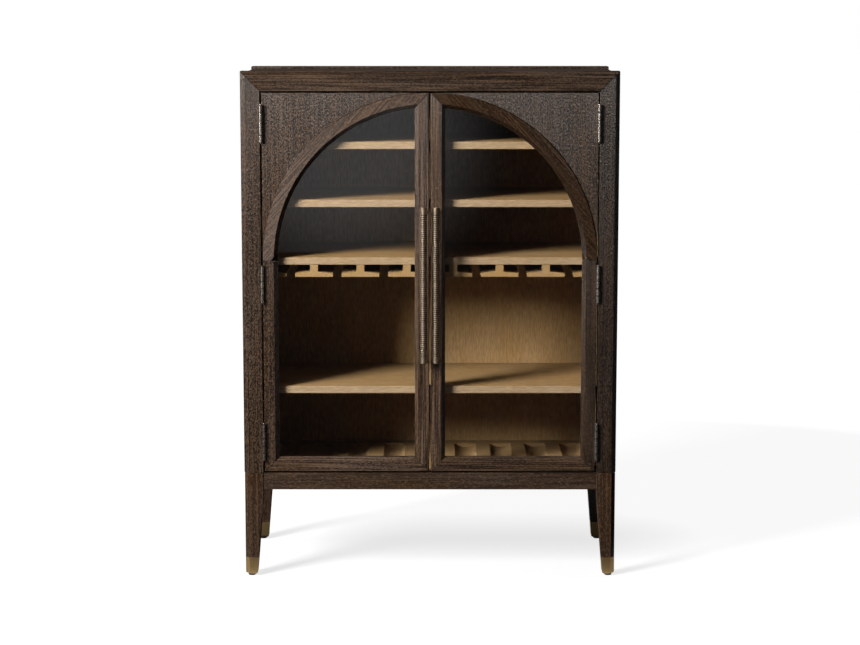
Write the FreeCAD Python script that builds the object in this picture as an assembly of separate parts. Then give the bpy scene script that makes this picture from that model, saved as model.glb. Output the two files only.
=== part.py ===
"""Bar cabinet with two arched glass doors, built as one solid per physical piece."""
import math
import os

import FreeCAD
import Part

# Overall size, in millimetres
CASE_WIDTH = 1016.0
CASE_DEPTH = 457.0
TOTAL_HEIGHT = 1381.0
BASE_HEIGHT = 289.0

# Front and rear frames of the case
FRAME_FACE = 53.0
FRAME_BEVEL = 12.0
EASE = 1.0
PANEL_RECESS = 6.0
SIDE_THICKNESS = 18.0
LINING_THICKNESS = 12.0
TOP_THICKNESS = 18.0
CEILING_THICKNESS = 12.0
BACK_THICKNESS = 6.0
BACK_SETBACK = 26.0
GROOVE_DEPTH = 8.0

# Base with tapered legs
BASE_INSET = 1.0
BASE_RAIL_HEIGHT = 46.5
BASE_RAIL_THICKNESS = 22.0
BASE_RAIL_SETBACK = 1.5
BOTTOM_THICKNESS = 16.0
BOTTOM_DROP = 9.0
BOTTOM_GROOVE = 10.0
LEG_FOOT_WIDTH = 33.0
LEG_TOP_CHAMFER = 2.5
FERRULE_TOP = 52.0
FERRULE_WALL = 1.5
FERRULE_FLOOR = 3.0
FERRULE_ROUNDING = 6.0
FERRULE_ROUNDING_STEPS = 4
GLIDE_HEIGHT = 5.0
GLIDE_RADIUS = 10.0
GLIDE_ROUNDING = 1.5
GLIDE_STEM_RADIUS = 3.5
GLIDE_STEM_LENGTH = 25.0
DOWEL_RADIUS = 5.0
DOWEL_LENGTH = 60.0
DOWEL_SPACING = 20.0

# Shelves
SHELF_THICKNESS = 20.0
SHELF_SETBACK = 32.0
SHELF_SIDE_CLEARANCE = 0.8
SHELF_BACK_CLEARANCE = 0.5
UPPER_CLEAR_HEIGHT = 136.5
LOWER_SHELF_TOP = 525.0
SHELF_TONGUE = 5.0
PIN_RADIUS = 2.5
PIN_DEPTH = 8.0
PIN_REACH = 9.0
PIN_FROM_POST = 40.0
PIN_FIT = 0.05
DIVIDER_THICKNESS = 18.0
DIVIDER_SETBACK = 20.0

# Stemware rails under the third shelf
RAIL_COUNT = 8
RAIL_HEIGHT = 33.0
RAIL_STEM = 21.0
RAIL_SLOT = 23.9
RAIL_END_GAP = 3.85
RAIL_TIP_THICKNESS = 9.0
RAIL_ROOT_THICKNESS = 14.0
RAIL_FRONT_STEP = 1.5
RAIL_BACK_GAP = 6.0

# Bottle cradle
CRADLE_THICKNESS = 16.0
SCOOP_COUNT = 9
SCOOP_WIDTH = 61.0
SCOOP_DEPTH = 11.5
SCOOP_END_GAP = 43.0

# Doors
DOOR_GAP = 4.5
MEETING_GAP = 4.0
DOOR_THICKNESS = 24.0
DOOR_MEMBER = 39.0
DOOR_BEVEL_WIDTH = 10.0
DOOR_BEVEL_DEPTH = 10.0
DOOR_LIP_DEPTH = 12.0
DOOR_EASE = 2.0
GLASS_REBATE = 8.0
GLASS_THICKNESS = 4.0
GLASS_CLEARANCE = 0.3
ARCH_OVERSIZE = 2.0
SPANDREL_STEP = 3.0
GLUE_GAP = 0.1

# Hinges
HINGE_LENGTH = 100.0
HINGE_FROM_END = 82.0
HINGE_BARREL_RADIUS = 4.0
HINGE_PROUD = 5.5
HINGE_KNUCKLES = 5
KNUCKLE_GAP = 0.4
LEAF_THICKNESS = 2.0
LEAF_DEPTH = 22.0
LEAF_FRONT_STEP = 0.3
HINGE_PIN_RADIUS = 1.8
HINGE_PIN_FIT = 0.05
HINGE_TIP_RADIUS = 3.2
HINGE_TIP_HEIGHT = 2.5
HINGE_TIP_ROUNDING = 1.0
SCREW_HEAD_RADIUS = 3.2
SCREW_HEAD_HEIGHT = 1.8
SCREW_RADIUS = 1.6
SCREW_LENGTH = 18.0
SCREW_FIT = 0.05
SCREW_SPREAD = 35.0
SCREW_NEAR = 8.0
SCREW_FAR = 15.0

# Pulls
PULL_LENGTH = 423.0
PULL_RADIUS = 9.0
PULL_REACH = 38.0
PULL_END_LENGTH = 21.0
PULL_END_CHAMFER = 1.2
PULL_RIB_COUNT = 67
PULL_GROOVE_DEPTH = 1.2
PULL_GROOVE_SHARE = 0.45
PULL_GROOVE_FLOOR_SHARE = 0.15
PULL_POST_RADIUS = 4.5
PULL_ROSE_RADIUS = 7.0
PULL_ROSE_HEIGHT = 2.0
PULL_SEAT_GAP = 0.05
PULL_SCREW_RADIUS = 2.0
PULL_SCREW_FIT = 0.1
PULL_SCREW_HEAD_RADIUS = 4.0
PULL_SCREW_HEAD_HEIGHT = 2.5
PULL_SCREW_ENGAGEMENT = 14.0

# Magnetic catches
CATCH_WIDTH = 30.0
CATCH_DEPTH = 17.0
CATCH_HEIGHT = 18.0
CATCH_FROM_CENTRE = 6.0
STRIKE_THICKNESS = 1.2
STRIKE_HEIGHT = 15.0
STRIKE_FROM_TOP = 3.0
STRIKE_AIR = 0.3

# Planes that follow from the sizes above
HALF = CASE_WIDTH / 2.0
FRONT = (PULL_REACH - CASE_DEPTH) / 2.0
BACK = FRONT + CASE_DEPTH
INNER = HALF - FRAME_FACE
POST_BACK = FRONT + FRAME_FACE
POST_FRONT = BACK - FRAME_FACE
CEILING = TOTAL_HEIGHT - FRAME_FACE
SIDE_OUTER = HALF - PANEL_RECESS
SIDE_INNER = SIDE_OUTER - SIDE_THICKNESS
LINING_OUTER = INNER + LINING_THICKNESS
TOP_FACE = TOTAL_HEIGHT - PANEL_RECESS
TOP_UNDER = TOP_FACE - TOP_THICKNESS
BACK_REAR = BACK - BACK_SETBACK
BACK_FACE = BACK_REAR - BACK_THICKNESS
SHELF_FRONT = FRONT + SHELF_SETBACK
SHELF_BACK = BACK_FACE - SHELF_BACK_CLEARANCE
SHELF_HALF = INNER - SHELF_SIDE_CLEARANCE
SHELF_PITCH = UPPER_CLEAR_HEIGHT + SHELF_THICKNESS
TOP_SHELF_TOP = CEILING - UPPER_CLEAR_HEIGHT
SECOND_SHELF_TOP = TOP_SHELF_TOP - SHELF_PITCH
STEMWARE_SHELF_TOP = SECOND_SHELF_TOP - SHELF_PITCH
STEMWARE_UNDER = STEMWARE_SHELF_TOP - SHELF_THICKNESS
RAIL_PITCH = 2.0 * (INNER - RAIL_END_GAP - RAIL_STEM / 2.0) / (RAIL_COUNT - 1)
RAIL_FLANGE = RAIL_PITCH - RAIL_SLOT
SCOOP_PITCH = 2.0 * SHELF_HALF / SCOOP_COUNT
RAIL_BOTTOM_Z = BASE_HEIGHT - BASE_RAIL_HEIGHT
FLOOR_TOP = BASE_HEIGHT - BOTTOM_DROP
FLOOR_UNDER = FLOOR_TOP - BOTTOM_THICKNESS
LEG_OUTER = HALF - BASE_INSET
LEG_WIDTH = FRAME_FACE - BASE_INSET
LEG_BEVEL = FRAME_BEVEL - BASE_INSET
DOOR_OUTER = INNER - DOOR_GAP
DOOR_MEETING = MEETING_GAP / 2.0
DOOR_BOTTOM = BASE_HEIGHT + DOOR_GAP
DOOR_TOP = CEILING - DOOR_GAP
DOOR_BACK = FRONT + DOOR_THICKNESS
DOOR_MIDDLE = (DOOR_BOTTOM + DOOR_TOP) / 2.0
SPRING = DOOR_TOP - DOOR_OUTER
ARCH_SIGHT_RADIUS = DOOR_OUTER - DOOR_MEMBER
ARCH_WIDTH = DOOR_MEMBER + ARCH_OVERSIZE
ARCH_RADIUS = ARCH_SIGHT_RADIUS + ARCH_WIDTH
GLASS_RADIUS = ARCH_SIGHT_RADIUS + GLASS_REBATE
GLASS_BACK = FRONT + DOOR_LIP_DEPTH + GLASS_THICKNESS
HINGE_X = INNER - DOOR_GAP / 2.0
HINGE_Y = FRONT - HINGE_PROUD
HINGE_CENTRES = [DOOR_BOTTOM + HINGE_FROM_END, DOOR_MIDDLE, DOOR_TOP - HINGE_FROM_END]
PULL_X = DOOR_MEETING + (DOOR_MEMBER - DOOR_BEVEL_WIDTH) / 2.0
PULL_Y = FRONT - PULL_REACH + PULL_RADIUS
PULL_BOTTOM = DOOR_MIDDLE - PULL_LENGTH / 2.0
PULL_POSTS_Z = [PULL_BOTTOM + PULL_END_LENGTH / 2.0,
                PULL_BOTTOM + PULL_LENGTH - PULL_END_LENGTH / 2.0]

X_AXIS = FreeCAD.Vector(1, 0, 0)
Y_AXIS = FreeCAD.Vector(0, 1, 0)
Z_AXIS = FreeCAD.Vector(0, 0, 1)
ORIGIN = FreeCAD.Vector(0, 0, 0)
FULL_TURN = 360.0
QUARTER_TURN = 90.0
BEYOND = 2.0 * TOTAL_HEIGHT


def block(x0, x1, y0, y1, z0, z1):
    """Box between two corners."""
    return Part.makeBox(x1 - x0, y1 - y0, z1 - z0, FreeCAD.Vector(x0, y0, z0))


def eased(shape, size=EASE):
    """Solid with every edge broken by a small chamfer."""
    return shape.makeChamfer(size, shape.Edges)


def face_of(points):
    """Plane face inside a closed polygon of points."""
    vectors = [FreeCAD.Vector(*point) for point in points]
    return Part.Face(Part.makePolygon(vectors + vectors[:1]))


def prism(points, direction):
    """Polygon pushed along a direction."""
    return face_of(points).extrude(direction)


def rod(radius, length, x, y, z, axis):
    """Cylinder that starts at a point and runs along an axis."""
    return Part.makeCylinder(radius, length, FreeCAD.Vector(x, y, z), axis)


def mirrored(shape):
    """The same piece on the other side of the cabinet."""
    return shape.mirror(ORIGIN, X_AXIS)


def mirrored_all(shapes):
    """Every piece of a list on the other side of the cabinet."""
    return [mirrored(shape) for shape in shapes]


def below_line(x0, z0, x1, z1):
    """Large wedge under a slanted line in the front view."""
    slope = (z1 - z0) / (x1 - x0)
    left = -BEYOND
    right = BEYOND
    points = [(left, -BEYOND, z0 + slope * (left - x0)),
              (right, -BEYOND, z0 + slope * (right - x0)),
              (right, -BEYOND, -BEYOND * BEYOND),
              (left, -BEYOND, -BEYOND * BEYOND)]
    return prism(points, Y_AXIS * (2.0 * BEYOND))


def save(name, pieces):
    """Write one node, from one solid or from a list of separate solids."""
    shapes = pieces if isinstance(pieces, list) else [pieces]
    shape = shapes[0] if len(shapes) == 1 else Part.makeCompound(shapes)
    shape.exportStep(os.path.join("parts", name + ".step"))


# Frames of the case

def front_post():
    """Left front post, bevelled on its outer edge and mitred at the top."""
    plan = [(-HALF, FRONT + FRAME_BEVEL, BASE_HEIGHT),
            (-HALF + FRAME_BEVEL, FRONT, BASE_HEIGHT),
            (-INNER, FRONT, BASE_HEIGHT),
            (-INNER, POST_BACK, BASE_HEIGHT),
            (-HALF, POST_BACK, BASE_HEIGHT)]
    post = prism(plan, Z_AXIS * (TOTAL_HEIGHT - BASE_HEIGHT))
    post = post.common(below_line(-HALF, TOTAL_HEIGHT, -INNER, CEILING))
    return eased(post)


def rear_post():
    """Left rear post, square in plan and mitred at the top."""
    post = block(-HALF, -INNER, POST_FRONT, BACK, BASE_HEIGHT, TOTAL_HEIGHT)
    post = post.common(below_line(-HALF, TOTAL_HEIGHT, -INNER, CEILING))
    return eased(post)


def mitred_rail(section):
    """Top rail from its side view, cut to the mitres of both posts."""
    rail = prism(section, X_AXIS * CASE_WIDTH)
    rail = rail.cut(below_line(-HALF, TOTAL_HEIGHT, -INNER, CEILING))
    rail = rail.cut(below_line(HALF, TOTAL_HEIGHT, INNER, CEILING))
    return eased(rail)


def front_rail_section():
    """Side view of the front top rail with its bevel."""
    return [(-HALF, FRONT, CEILING),
            (-HALF, FRONT, TOTAL_HEIGHT - FRAME_BEVEL),
            (-HALF, FRONT + FRAME_BEVEL, TOTAL_HEIGHT),
            (-HALF, POST_BACK, TOTAL_HEIGHT),
            (-HALF, POST_BACK, CEILING)]


def rear_rail_section():
    """Side view of the rear top rail."""
    return [(-HALF, POST_FRONT, CEILING),
            (-HALF, POST_FRONT, TOTAL_HEIGHT),
            (-HALF, BACK, TOTAL_HEIGHT),
            (-HALF, BACK, CEILING)]


# Legs, ferrules and glides

def leg_width_at(z):
    """Leg width at a height: full at the rails, then tapering to the foot."""
    share = min(1.0, max(0.0, (z - GLIDE_HEIGHT) / (RAIL_BOTTOM_Z - GLIDE_HEIGHT)))
    return LEG_FOOT_WIDTH + share * (LEG_WIDTH - LEG_FOOT_WIDTH)


def leg_section(side, front, z, shrink):
    """Closed wire of the leg's outline at a height; side and front are -1 or 1."""
    width = leg_width_at(z)
    bevel = LEG_BEVEL if front < 0 else EASE
    near = shrink
    far = width - shrink
    corners = [(near, near + bevel), (near + bevel, near),
               (far - EASE, near), (far, near + EASE),
               (far, far - EASE), (far - EASE, far),
               (near + EASE, far), (near, far - EASE)]
    outer_y = FRONT + BASE_INSET if front < 0 else BACK - BASE_INSET
    points = [FreeCAD.Vector(side * (LEG_OUTER - a), outer_y - front * b, z) for a, b in corners]
    return Part.makePolygon(points + points[:1])


def leg_stretch(side, front, z0, z1, shrink0, shrink1):
    """Straight-sided stretch of a leg between two heights."""
    wires = [leg_section(side, front, z0, shrink0), leg_section(side, front, z1, shrink1)]
    return Part.makeLoft(wires, True, True)


def glide_at(side, front):
    """Plan position of a glide, at the middle of the foot."""
    middle = LEG_FOOT_WIDTH / 2.0
    outer_y = FRONT + BASE_INSET if front < 0 else BACK - BASE_INSET
    return side * (LEG_OUTER - middle), outer_y - front * middle


def glide(side, front):
    """Round glide with a stem that goes up into the leg."""
    x, y = glide_at(side, front)
    disc = rod(GLIDE_RADIUS, GLIDE_HEIGHT, x, y, 0.0, Z_AXIS)
    rim = [edge for edge in disc.Edges if edge.Closed and edge.BoundBox.ZMax < GLIDE_ROUNDING]
    disc = disc.makeFillet(GLIDE_ROUNDING, rim)
    return disc.fuse(rod(GLIDE_STEM_RADIUS, GLIDE_STEM_LENGTH, x, y, GLIDE_HEIGHT, Z_AXIS)).removeSplitter()


def glide_hole(side, front):
    """Hole for a glide's stem."""
    x, y = glide_at(side, front)
    radius = GLIDE_STEM_RADIUS + PIN_FIT
    return rod(radius, GLIDE_STEM_LENGTH + PIN_FIT, x, y, GLIDE_HEIGHT, Z_AXIS)


def dowels_at(side, front):
    """Two dowels that tie a post to the leg under it."""
    x = side * (HALF - FRAME_FACE / 2.0)
    y = (FRONT + BACK) / 2.0 + front * (CASE_DEPTH - FRAME_FACE) / 2.0
    start = BASE_HEIGHT - DOWEL_LENGTH / 2.0
    offset = DOWEL_SPACING / 2.0
    return [rod(DOWEL_RADIUS, DOWEL_LENGTH, x + step, y, start, Z_AXIS) for step in (-offset, offset)]


def leg(side, front):
    """Tapered leg with a reduced foot that fits the ferrule."""
    foot_bottom = GLIDE_HEIGHT + FERRULE_FLOOR
    wall = FERRULE_WALL
    shoulder = BASE_HEIGHT - LEG_TOP_CHAMFER
    stretches = [leg_stretch(side, front, RAIL_BOTTOM_Z, shoulder, 0.0, 0.0),
                 leg_stretch(side, front, shoulder, BASE_HEIGHT, 0.0, LEG_TOP_CHAMFER),
                 leg_stretch(side, front, FERRULE_TOP, RAIL_BOTTOM_Z, 0.0, 0.0),
                 leg_stretch(side, front, foot_bottom, FERRULE_TOP, wall, wall)]
    solid = stretches[0].multiFuse(stretches[1:]).removeSplitter()
    for dowel in dowels_at(side, front):
        solid = solid.cut(dowel)
    return solid.cut(glide_hole(side, front))


def ferrule(side, front):
    """Brass cup round the foot of a leg, with a rounded lower edge."""
    levels = []
    for i in range(FERRULE_ROUNDING_STEPS + 1):
        angle = math.radians(QUARTER_TURN * i / FERRULE_ROUNDING_STEPS)
        level = GLIDE_HEIGHT + FERRULE_ROUNDING * (1.0 - math.cos(angle))
        levels.append((level, FERRULE_ROUNDING * (1.0 - math.sin(angle))))
    levels.append((FERRULE_TOP, 0.0))
    rings = []
    for (z0, shrink0), (z1, shrink1) in zip(levels[:-1], levels[1:]):
        rings.append(leg_stretch(side, front, z0, z1, shrink0, shrink1))
    cup = rings[0].multiFuse(rings[1:]).removeSplitter()
    hollow = leg_stretch(side, front, GLIDE_HEIGHT + FERRULE_FLOOR, FERRULE_TOP, FERRULE_WALL, FERRULE_WALL)
    return cup.cut(hollow).cut(glide_hole(side, front))


# Shelves, rails and cradle

def shelf(top):
    """Loose shelf that lies on pins."""
    return eased(block(-SHELF_HALF, SHELF_HALF, SHELF_FRONT, SHELF_BACK, top - SHELF_THICKNESS, top))


def shelf_pins(top):
    """Four pins under a loose shelf."""
    z = top - SHELF_THICKNESS - PIN_RADIUS
    pins = []
    for y in (POST_BACK + PIN_FROM_POST, POST_FRONT - PIN_FROM_POST):
        pins.append(rod(PIN_RADIUS, PIN_DEPTH + PIN_REACH, -INNER - PIN_DEPTH, y, z, X_AXIS))
        pins.append(rod(PIN_RADIUS, PIN_DEPTH + PIN_REACH, INNER - PIN_REACH, y, z, X_AXIS))
    return pins


def pin_holes(top):
    """Holes for the four pins of a shelf."""
    z = top - SHELF_THICKNESS - PIN_RADIUS
    length = 2.0 * (INNER + PIN_DEPTH)
    ends = (POST_BACK + PIN_FROM_POST, POST_FRONT - PIN_FROM_POST)
    return [rod(PIN_RADIUS + PIN_FIT, length, -INNER - PIN_DEPTH, y, z, X_AXIS) for y in ends]


def stemware_shelf():
    """Fixed shelf whose ends are let into the linings."""
    board = shelf(STEMWARE_SHELF_TOP)
    half = INNER + SHELF_TONGUE
    tongue = block(-half, half, POST_BACK, POST_FRONT, STEMWARE_UNDER, STEMWARE_SHELF_TOP)
    return board.fuse(tongue).removeSplitter()


def shelf_dividers():
    """Upright in the middle of each upper bay, from a shelf to what lies over it."""
    half = DIVIDER_THICKNESS / 2.0
    front = SHELF_FRONT + DIVIDER_SETBACK
    bays = [(TOP_SHELF_TOP, CEILING),
            (SECOND_SHELF_TOP, TOP_SHELF_TOP - SHELF_THICKNESS),
            (STEMWARE_SHELF_TOP, SECOND_SHELF_TOP - SHELF_THICKNESS)]
    return [eased(block(-half, half, front, SHELF_BACK, low, high)) for low, high in bays]


def stemware_rail(x, left_flange, right_flange):
    """Rail that holds the feet of glasses, with a flange on one side or both."""
    foot = STEMWARE_UNDER - RAIL_HEIGHT
    tip = foot + RAIL_TIP_THICKNESS
    root = foot + RAIL_ROOT_THICKNESS
    stem = RAIL_STEM / 2.0
    flange = RAIL_FLANGE / 2.0
    start = SHELF_FRONT + RAIL_FRONT_STEP
    end = SHELF_BACK - RAIL_BACK_GAP
    outline = [(x - stem, start, STEMWARE_UNDER)]
    if left_flange:
        outline += [(x - stem, start, root), (x - flange, start, tip), (x - flange, start, foot)]
    else:
        outline += [(x - stem, start, foot)]
    if right_flange:
        outline += [(x + flange, start, foot), (x + flange, start, tip), (x + stem, start, root)]
    else:
        outline += [(x + stem, start, foot)]
    outline += [(x + stem, start, STEMWARE_UNDER)]
    return prism(outline, Y_AXIS * (end - start))


def stemware_rails():
    """Row of rails, with one-sided ones against the linings."""
    first = -RAIL_PITCH * (RAIL_COUNT - 1) / 2.0
    last = RAIL_COUNT - 1
    return [stemware_rail(first + RAIL_PITCH * i, i > 0, i < last) for i in range(RAIL_COUNT)]


def bottle_cradle():
    """Board with round scoops in which bottles lie."""
    top = FLOOR_TOP + CRADLE_THICKNESS
    board = eased(block(-SHELF_HALF, SHELF_HALF, SHELF_FRONT, SHELF_BACK, FLOOR_TOP, top))
    half_width = SCOOP_WIDTH / 2.0
    radius = (half_width ** 2 + SCOOP_DEPTH ** 2) / (2.0 * SCOOP_DEPTH)
    axis_z = top - SCOOP_DEPTH + radius
    start = SHELF_FRONT - SHELF_SETBACK
    length = BACK_FACE - SCOOP_END_GAP - start
    first = -SCOOP_PITCH * (SCOOP_COUNT - 1) / 2.0
    for i in range(SCOOP_COUNT):
        board = board.cut(rod(radius, length, first + SCOOP_PITCH * i, start, axis_z, Y_AXIS))
    return board


# Hinges

def knuckle_spans(centre, on_door):
    """Heights of a leaf's own knuckles on one hinge."""
    pitch = HINGE_LENGTH / HINGE_KNUCKLES
    bottom = centre - HINGE_LENGTH / 2.0
    spans = []
    for i in range(HINGE_KNUCKLES):
        if (i % 2 == 1) == on_door:
            spans.append((bottom + pitch * i + KNUCKLE_GAP / 2.0, bottom + pitch * (i + 1) - KNUCKLE_GAP / 2.0))
    return spans


def screw_spots(centre):
    """Depth and height of the screws in one leaf."""
    spots = []
    for step, depth in ((-1, SCREW_NEAR), (0, SCREW_FAR), (1, SCREW_NEAR)):
        spots.append((FRONT + depth, centre + step * SCREW_SPREAD))
    return spots


def screw(x, y, z, direction, fit):
    """Countersunk screw along X, its head at x and its tip the given way; fit widens it into a hole."""
    head_radius = SCREW_HEAD_RADIUS + fit
    shank_radius = SCREW_RADIUS + fit
    axis = X_AXIS * direction
    start = FreeCAD.Vector(x, y, z)
    head = Part.makeCone(head_radius, shank_radius, SCREW_HEAD_HEIGHT, start, axis)
    shank = rod(shank_radius, SCREW_LENGTH + fit, x, y, z, axis)
    return head.fuse(shank).removeSplitter()


def leaf_screws(on_door, fit):
    """Every screw of the left leaves on the post or on the door."""
    head = -HINGE_X + DOOR_GAP / 2.0 - LEAF_THICKNESS if on_door else -INNER + LEAF_THICKNESS
    direction = 1 if on_door else -1
    screws = []
    for centre in HINGE_CENTRES:
        for y, z in screw_spots(centre):
            screws.append(screw(head, y, z, direction, fit))
    return screws


def hinge_leaf(centre, on_door):
    """One leaf of the left hinge: plate in the gap, with knuckles in front of it."""
    x0 = -DOOR_OUTER - LEAF_THICKNESS if on_door else -INNER
    x1 = x0 + LEAF_THICKNESS
    bottom = centre - HINGE_LENGTH / 2.0
    front = FRONT + LEAF_FRONT_STEP
    leaf = block(x0, x1, front, FRONT + LEAF_DEPTH, bottom, bottom + HINGE_LENGTH)
    for z0, z1 in knuckle_spans(centre, on_door):
        leaf = leaf.fuse(rod(HINGE_BARREL_RADIUS, z1 - z0, -HINGE_X, HINGE_Y, z0, Z_AXIS))
        leaf = leaf.fuse(block(x0, x1, HINGE_Y, front, z0, z1))
    bore = HINGE_PIN_RADIUS + HINGE_PIN_FIT
    leaf = leaf.cut(rod(bore, HINGE_LENGTH, -HINGE_X, HINGE_Y, bottom, Z_AXIS))
    return leaf.removeSplitter()


def hinge_leaves(on_door):
    """The three left leaves on the post or on the door, countersunk for their screws."""
    holes = leaf_screws(on_door, SCREW_FIT)
    leaves = []
    for centre in HINGE_CENTRES:
        leaf = hinge_leaf(centre, on_door)
        for hole in holes:
            leaf = leaf.cut(hole)
        leaves.append(leaf)
    return leaves


def hinge_pin(centre):
    """Pin of one left hinge with a button tip at each end."""
    bottom = centre - HINGE_LENGTH / 2.0
    pin = rod(HINGE_PIN_RADIUS, HINGE_LENGTH, -HINGE_X, HINGE_Y, bottom, Z_AXIS)
    for z, end in ((bottom - HINGE_TIP_HEIGHT, bottom - HINGE_TIP_HEIGHT),
                   (bottom + HINGE_LENGTH, bottom + HINGE_LENGTH + HINGE_TIP_HEIGHT)):
        tip = rod(HINGE_TIP_RADIUS, HINGE_TIP_HEIGHT, -HINGE_X, HINGE_Y, z, Z_AXIS)
        rim = [edge for edge in tip.Edges if edge.Closed and abs(edge.BoundBox.ZMax - end) < GLUE_GAP]
        pin = pin.fuse(tip.makeFillet(HINGE_TIP_ROUNDING, rim))
    return pin.removeSplitter()


# Left door

def door_profile(width):
    """Section of a door member: across from its outer edge, then back from its face."""
    shoulder = width - GLASS_REBATE
    return [(0.0, DOOR_EASE),
            (DOOR_EASE, 0.0),
            (width - DOOR_BEVEL_WIDTH, 0.0),
            (width, DOOR_BEVEL_DEPTH),
            (width, DOOR_LIP_DEPTH),
            (shoulder, DOOR_LIP_DEPTH),
            (shoulder, DOOR_THICKNESS),
            (EASE, DOOR_THICKNESS),
            (0.0, DOOR_THICKNESS - EASE)]


def bottom_mitres():
    """Slanted lines at the door's two lower corners."""
    left = below_line(-DOOR_OUTER, DOOR_BOTTOM, -DOOR_OUTER + DOOR_MEMBER, DOOR_BOTTOM + DOOR_MEMBER)
    right = below_line(-DOOR_MEETING, DOOR_BOTTOM, -DOOR_MEETING - DOOR_MEMBER, DOOR_BOTTOM + DOOR_MEMBER)
    return left, right


def top_mitre():
    """Slanted line where the arch meets the meeting stile."""
    inner_x = -DOOR_MEETING - DOOR_MEMBER
    inner_z = SPRING + math.sqrt(ARCH_SIGHT_RADIUS ** 2 - inner_x ** 2)
    return below_line(inner_x, inner_z, -DOOR_MEETING, DOOR_TOP)


def hinge_stile():
    """Upright on the hinge side, from the bottom mitre to the spring of the arch."""
    outline = [(-DOOR_OUTER + u, FRONT + v, DOOR_BOTTOM) for u, v in door_profile(DOOR_MEMBER)]
    stile = prism(outline, Z_AXIS * (SPRING - DOOR_BOTTOM))
    return stile.cut(bottom_mitres()[0])


def meeting_stile():
    """Upright in the middle of the cabinet, mitred at both ends."""
    outline = [(-DOOR_MEETING - u, FRONT + v, DOOR_BOTTOM) for u, v in door_profile(DOOR_MEMBER)]
    stile = prism(outline, Z_AXIS * (DOOR_TOP - DOOR_BOTTOM))
    stile = stile.cut(bottom_mitres()[1])
    return stile.common(top_mitre())


def door_bottom_rail():
    """Lower rail between the two mitres."""
    outline = [(-DOOR_OUTER, FRONT + v, DOOR_BOTTOM + u) for u, v in door_profile(DOOR_MEMBER)]
    rail = prism(outline, X_AXIS * (DOOR_OUTER - DOOR_MEETING))
    left, right = bottom_mitres()
    return rail.common(left).common(right)


def door_corner(y0, y1):
    """Upper part of the door's outline as a block, above the spring of the arch."""
    return block(-DOOR_OUTER, -DOOR_MEETING, y0, y1, SPRING, DOOR_TOP)


def arch_moulding():
    """Quarter of the round arch, cut to the door's edges and to the mitre."""
    outline = [(-ARCH_RADIUS + u, FRONT + v, SPRING) for u, v in door_profile(ARCH_WIDTH)]
    ring = face_of(outline).revolve(FreeCAD.Vector(0, 0, SPRING), Y_AXIS, QUARTER_TURN)
    ring = ring.common(door_corner(FRONT, DOOR_BACK))
    return ring.cut(top_mitre())


def spandrel_panel():
    """Flat panel in the corner above the arch, a little behind its face."""
    panel = door_corner(FRONT + SPANDREL_STEP, DOOR_BACK)
    return panel.cut(rod(ARCH_RADIUS + GLUE_GAP, CASE_DEPTH, 0.0, FRONT, SPRING, Y_AXIS))


def arched_plate(y0, y1, inset):
    """Plate as large as the glass rebate of the left door, less an inset all round."""
    edge = DOOR_MEMBER - GLASS_REBATE + inset
    x0 = -DOOR_OUTER + edge
    x1 = -DOOR_MEETING - edge
    lower = block(x0, x1, y0, y1, DOOR_BOTTOM + edge, SPRING)
    upper = block(x0, x1, y0, y1, SPRING, DOOR_TOP)
    disc = rod(GLASS_RADIUS - inset, y1 - y0, 0.0, y0, SPRING, Y_AXIS)
    return lower.fuse(upper.common(disc)).removeSplitter()


def glass_beads():
    """Strips that hold the glass from behind: bottom, two uprights and arch."""
    y0 = GLASS_BACK
    y1 = DOOR_BACK
    ring = arched_plate(y0, y1, GLASS_CLEARANCE).cut(arched_plate(y0, y1, GLASS_REBATE))
    sight_left = -DOOR_OUTER + DOOR_MEMBER
    sight_right = -DOOR_MEETING - DOOR_MEMBER
    sight_bottom = DOOR_BOTTOM + DOOR_MEMBER
    bottom = ring.common(block(-HALF, 0.0, y0, y1, BASE_HEIGHT, sight_bottom))
    right = ring.common(block(sight_right, 0.0, y0, y1, sight_bottom, TOTAL_HEIGHT))
    left = ring.common(block(-HALF, sight_left, y0, y1, sight_bottom, SPRING))
    arch = ring.common(block(-HALF, sight_right, y0, y1, SPRING, TOTAL_HEIGHT))
    return [bottom, right, left, arch]


def pull_bar():
    """Round bar with plain ends and fine ribs between them."""
    points = [(0.0, 0.0),
              (PULL_RADIUS - PULL_END_CHAMFER, 0.0),
              (PULL_RADIUS, PULL_END_CHAMFER)]
    pitch = (PULL_LENGTH - 2.0 * PULL_END_LENGTH) / PULL_RIB_COUNT
    mouth = pitch * PULL_GROOVE_SHARE / 2.0
    floor = pitch * PULL_GROOVE_FLOOR_SHARE / 2.0
    low = PULL_RADIUS - PULL_GROOVE_DEPTH
    for i in range(PULL_RIB_COUNT + 1):
        z = PULL_END_LENGTH + pitch * i
        points += [(PULL_RADIUS, z - mouth), (low, z - floor), (low, z + floor), (PULL_RADIUS, z + mouth)]
    points += [(PULL_RADIUS, PULL_LENGTH - PULL_END_CHAMFER),
               (PULL_RADIUS - PULL_END_CHAMFER, PULL_LENGTH),
               (0.0, PULL_LENGTH)]
    outline = [(-PULL_X - r, PULL_Y, PULL_BOTTOM + z) for r, z in points]
    return face_of(outline).revolve(FreeCAD.Vector(-PULL_X, PULL_Y, 0), Z_AXIS, FULL_TURN)


def pull_screw(z, fit):
    """Screw from the back of the stile into a pull post; fit widens it into a hole."""
    reach = DOOR_THICKNESS + PULL_SCREW_ENGAGEMENT
    head = rod(PULL_SCREW_HEAD_RADIUS, PULL_SCREW_HEAD_HEIGHT, -PULL_X, DOOR_BACK, z, Y_AXIS)
    shank = rod(PULL_SCREW_RADIUS + fit, reach + fit, -PULL_X, DOOR_BACK, z, -Y_AXIS)
    return head.fuse(shank).removeSplitter()


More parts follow.
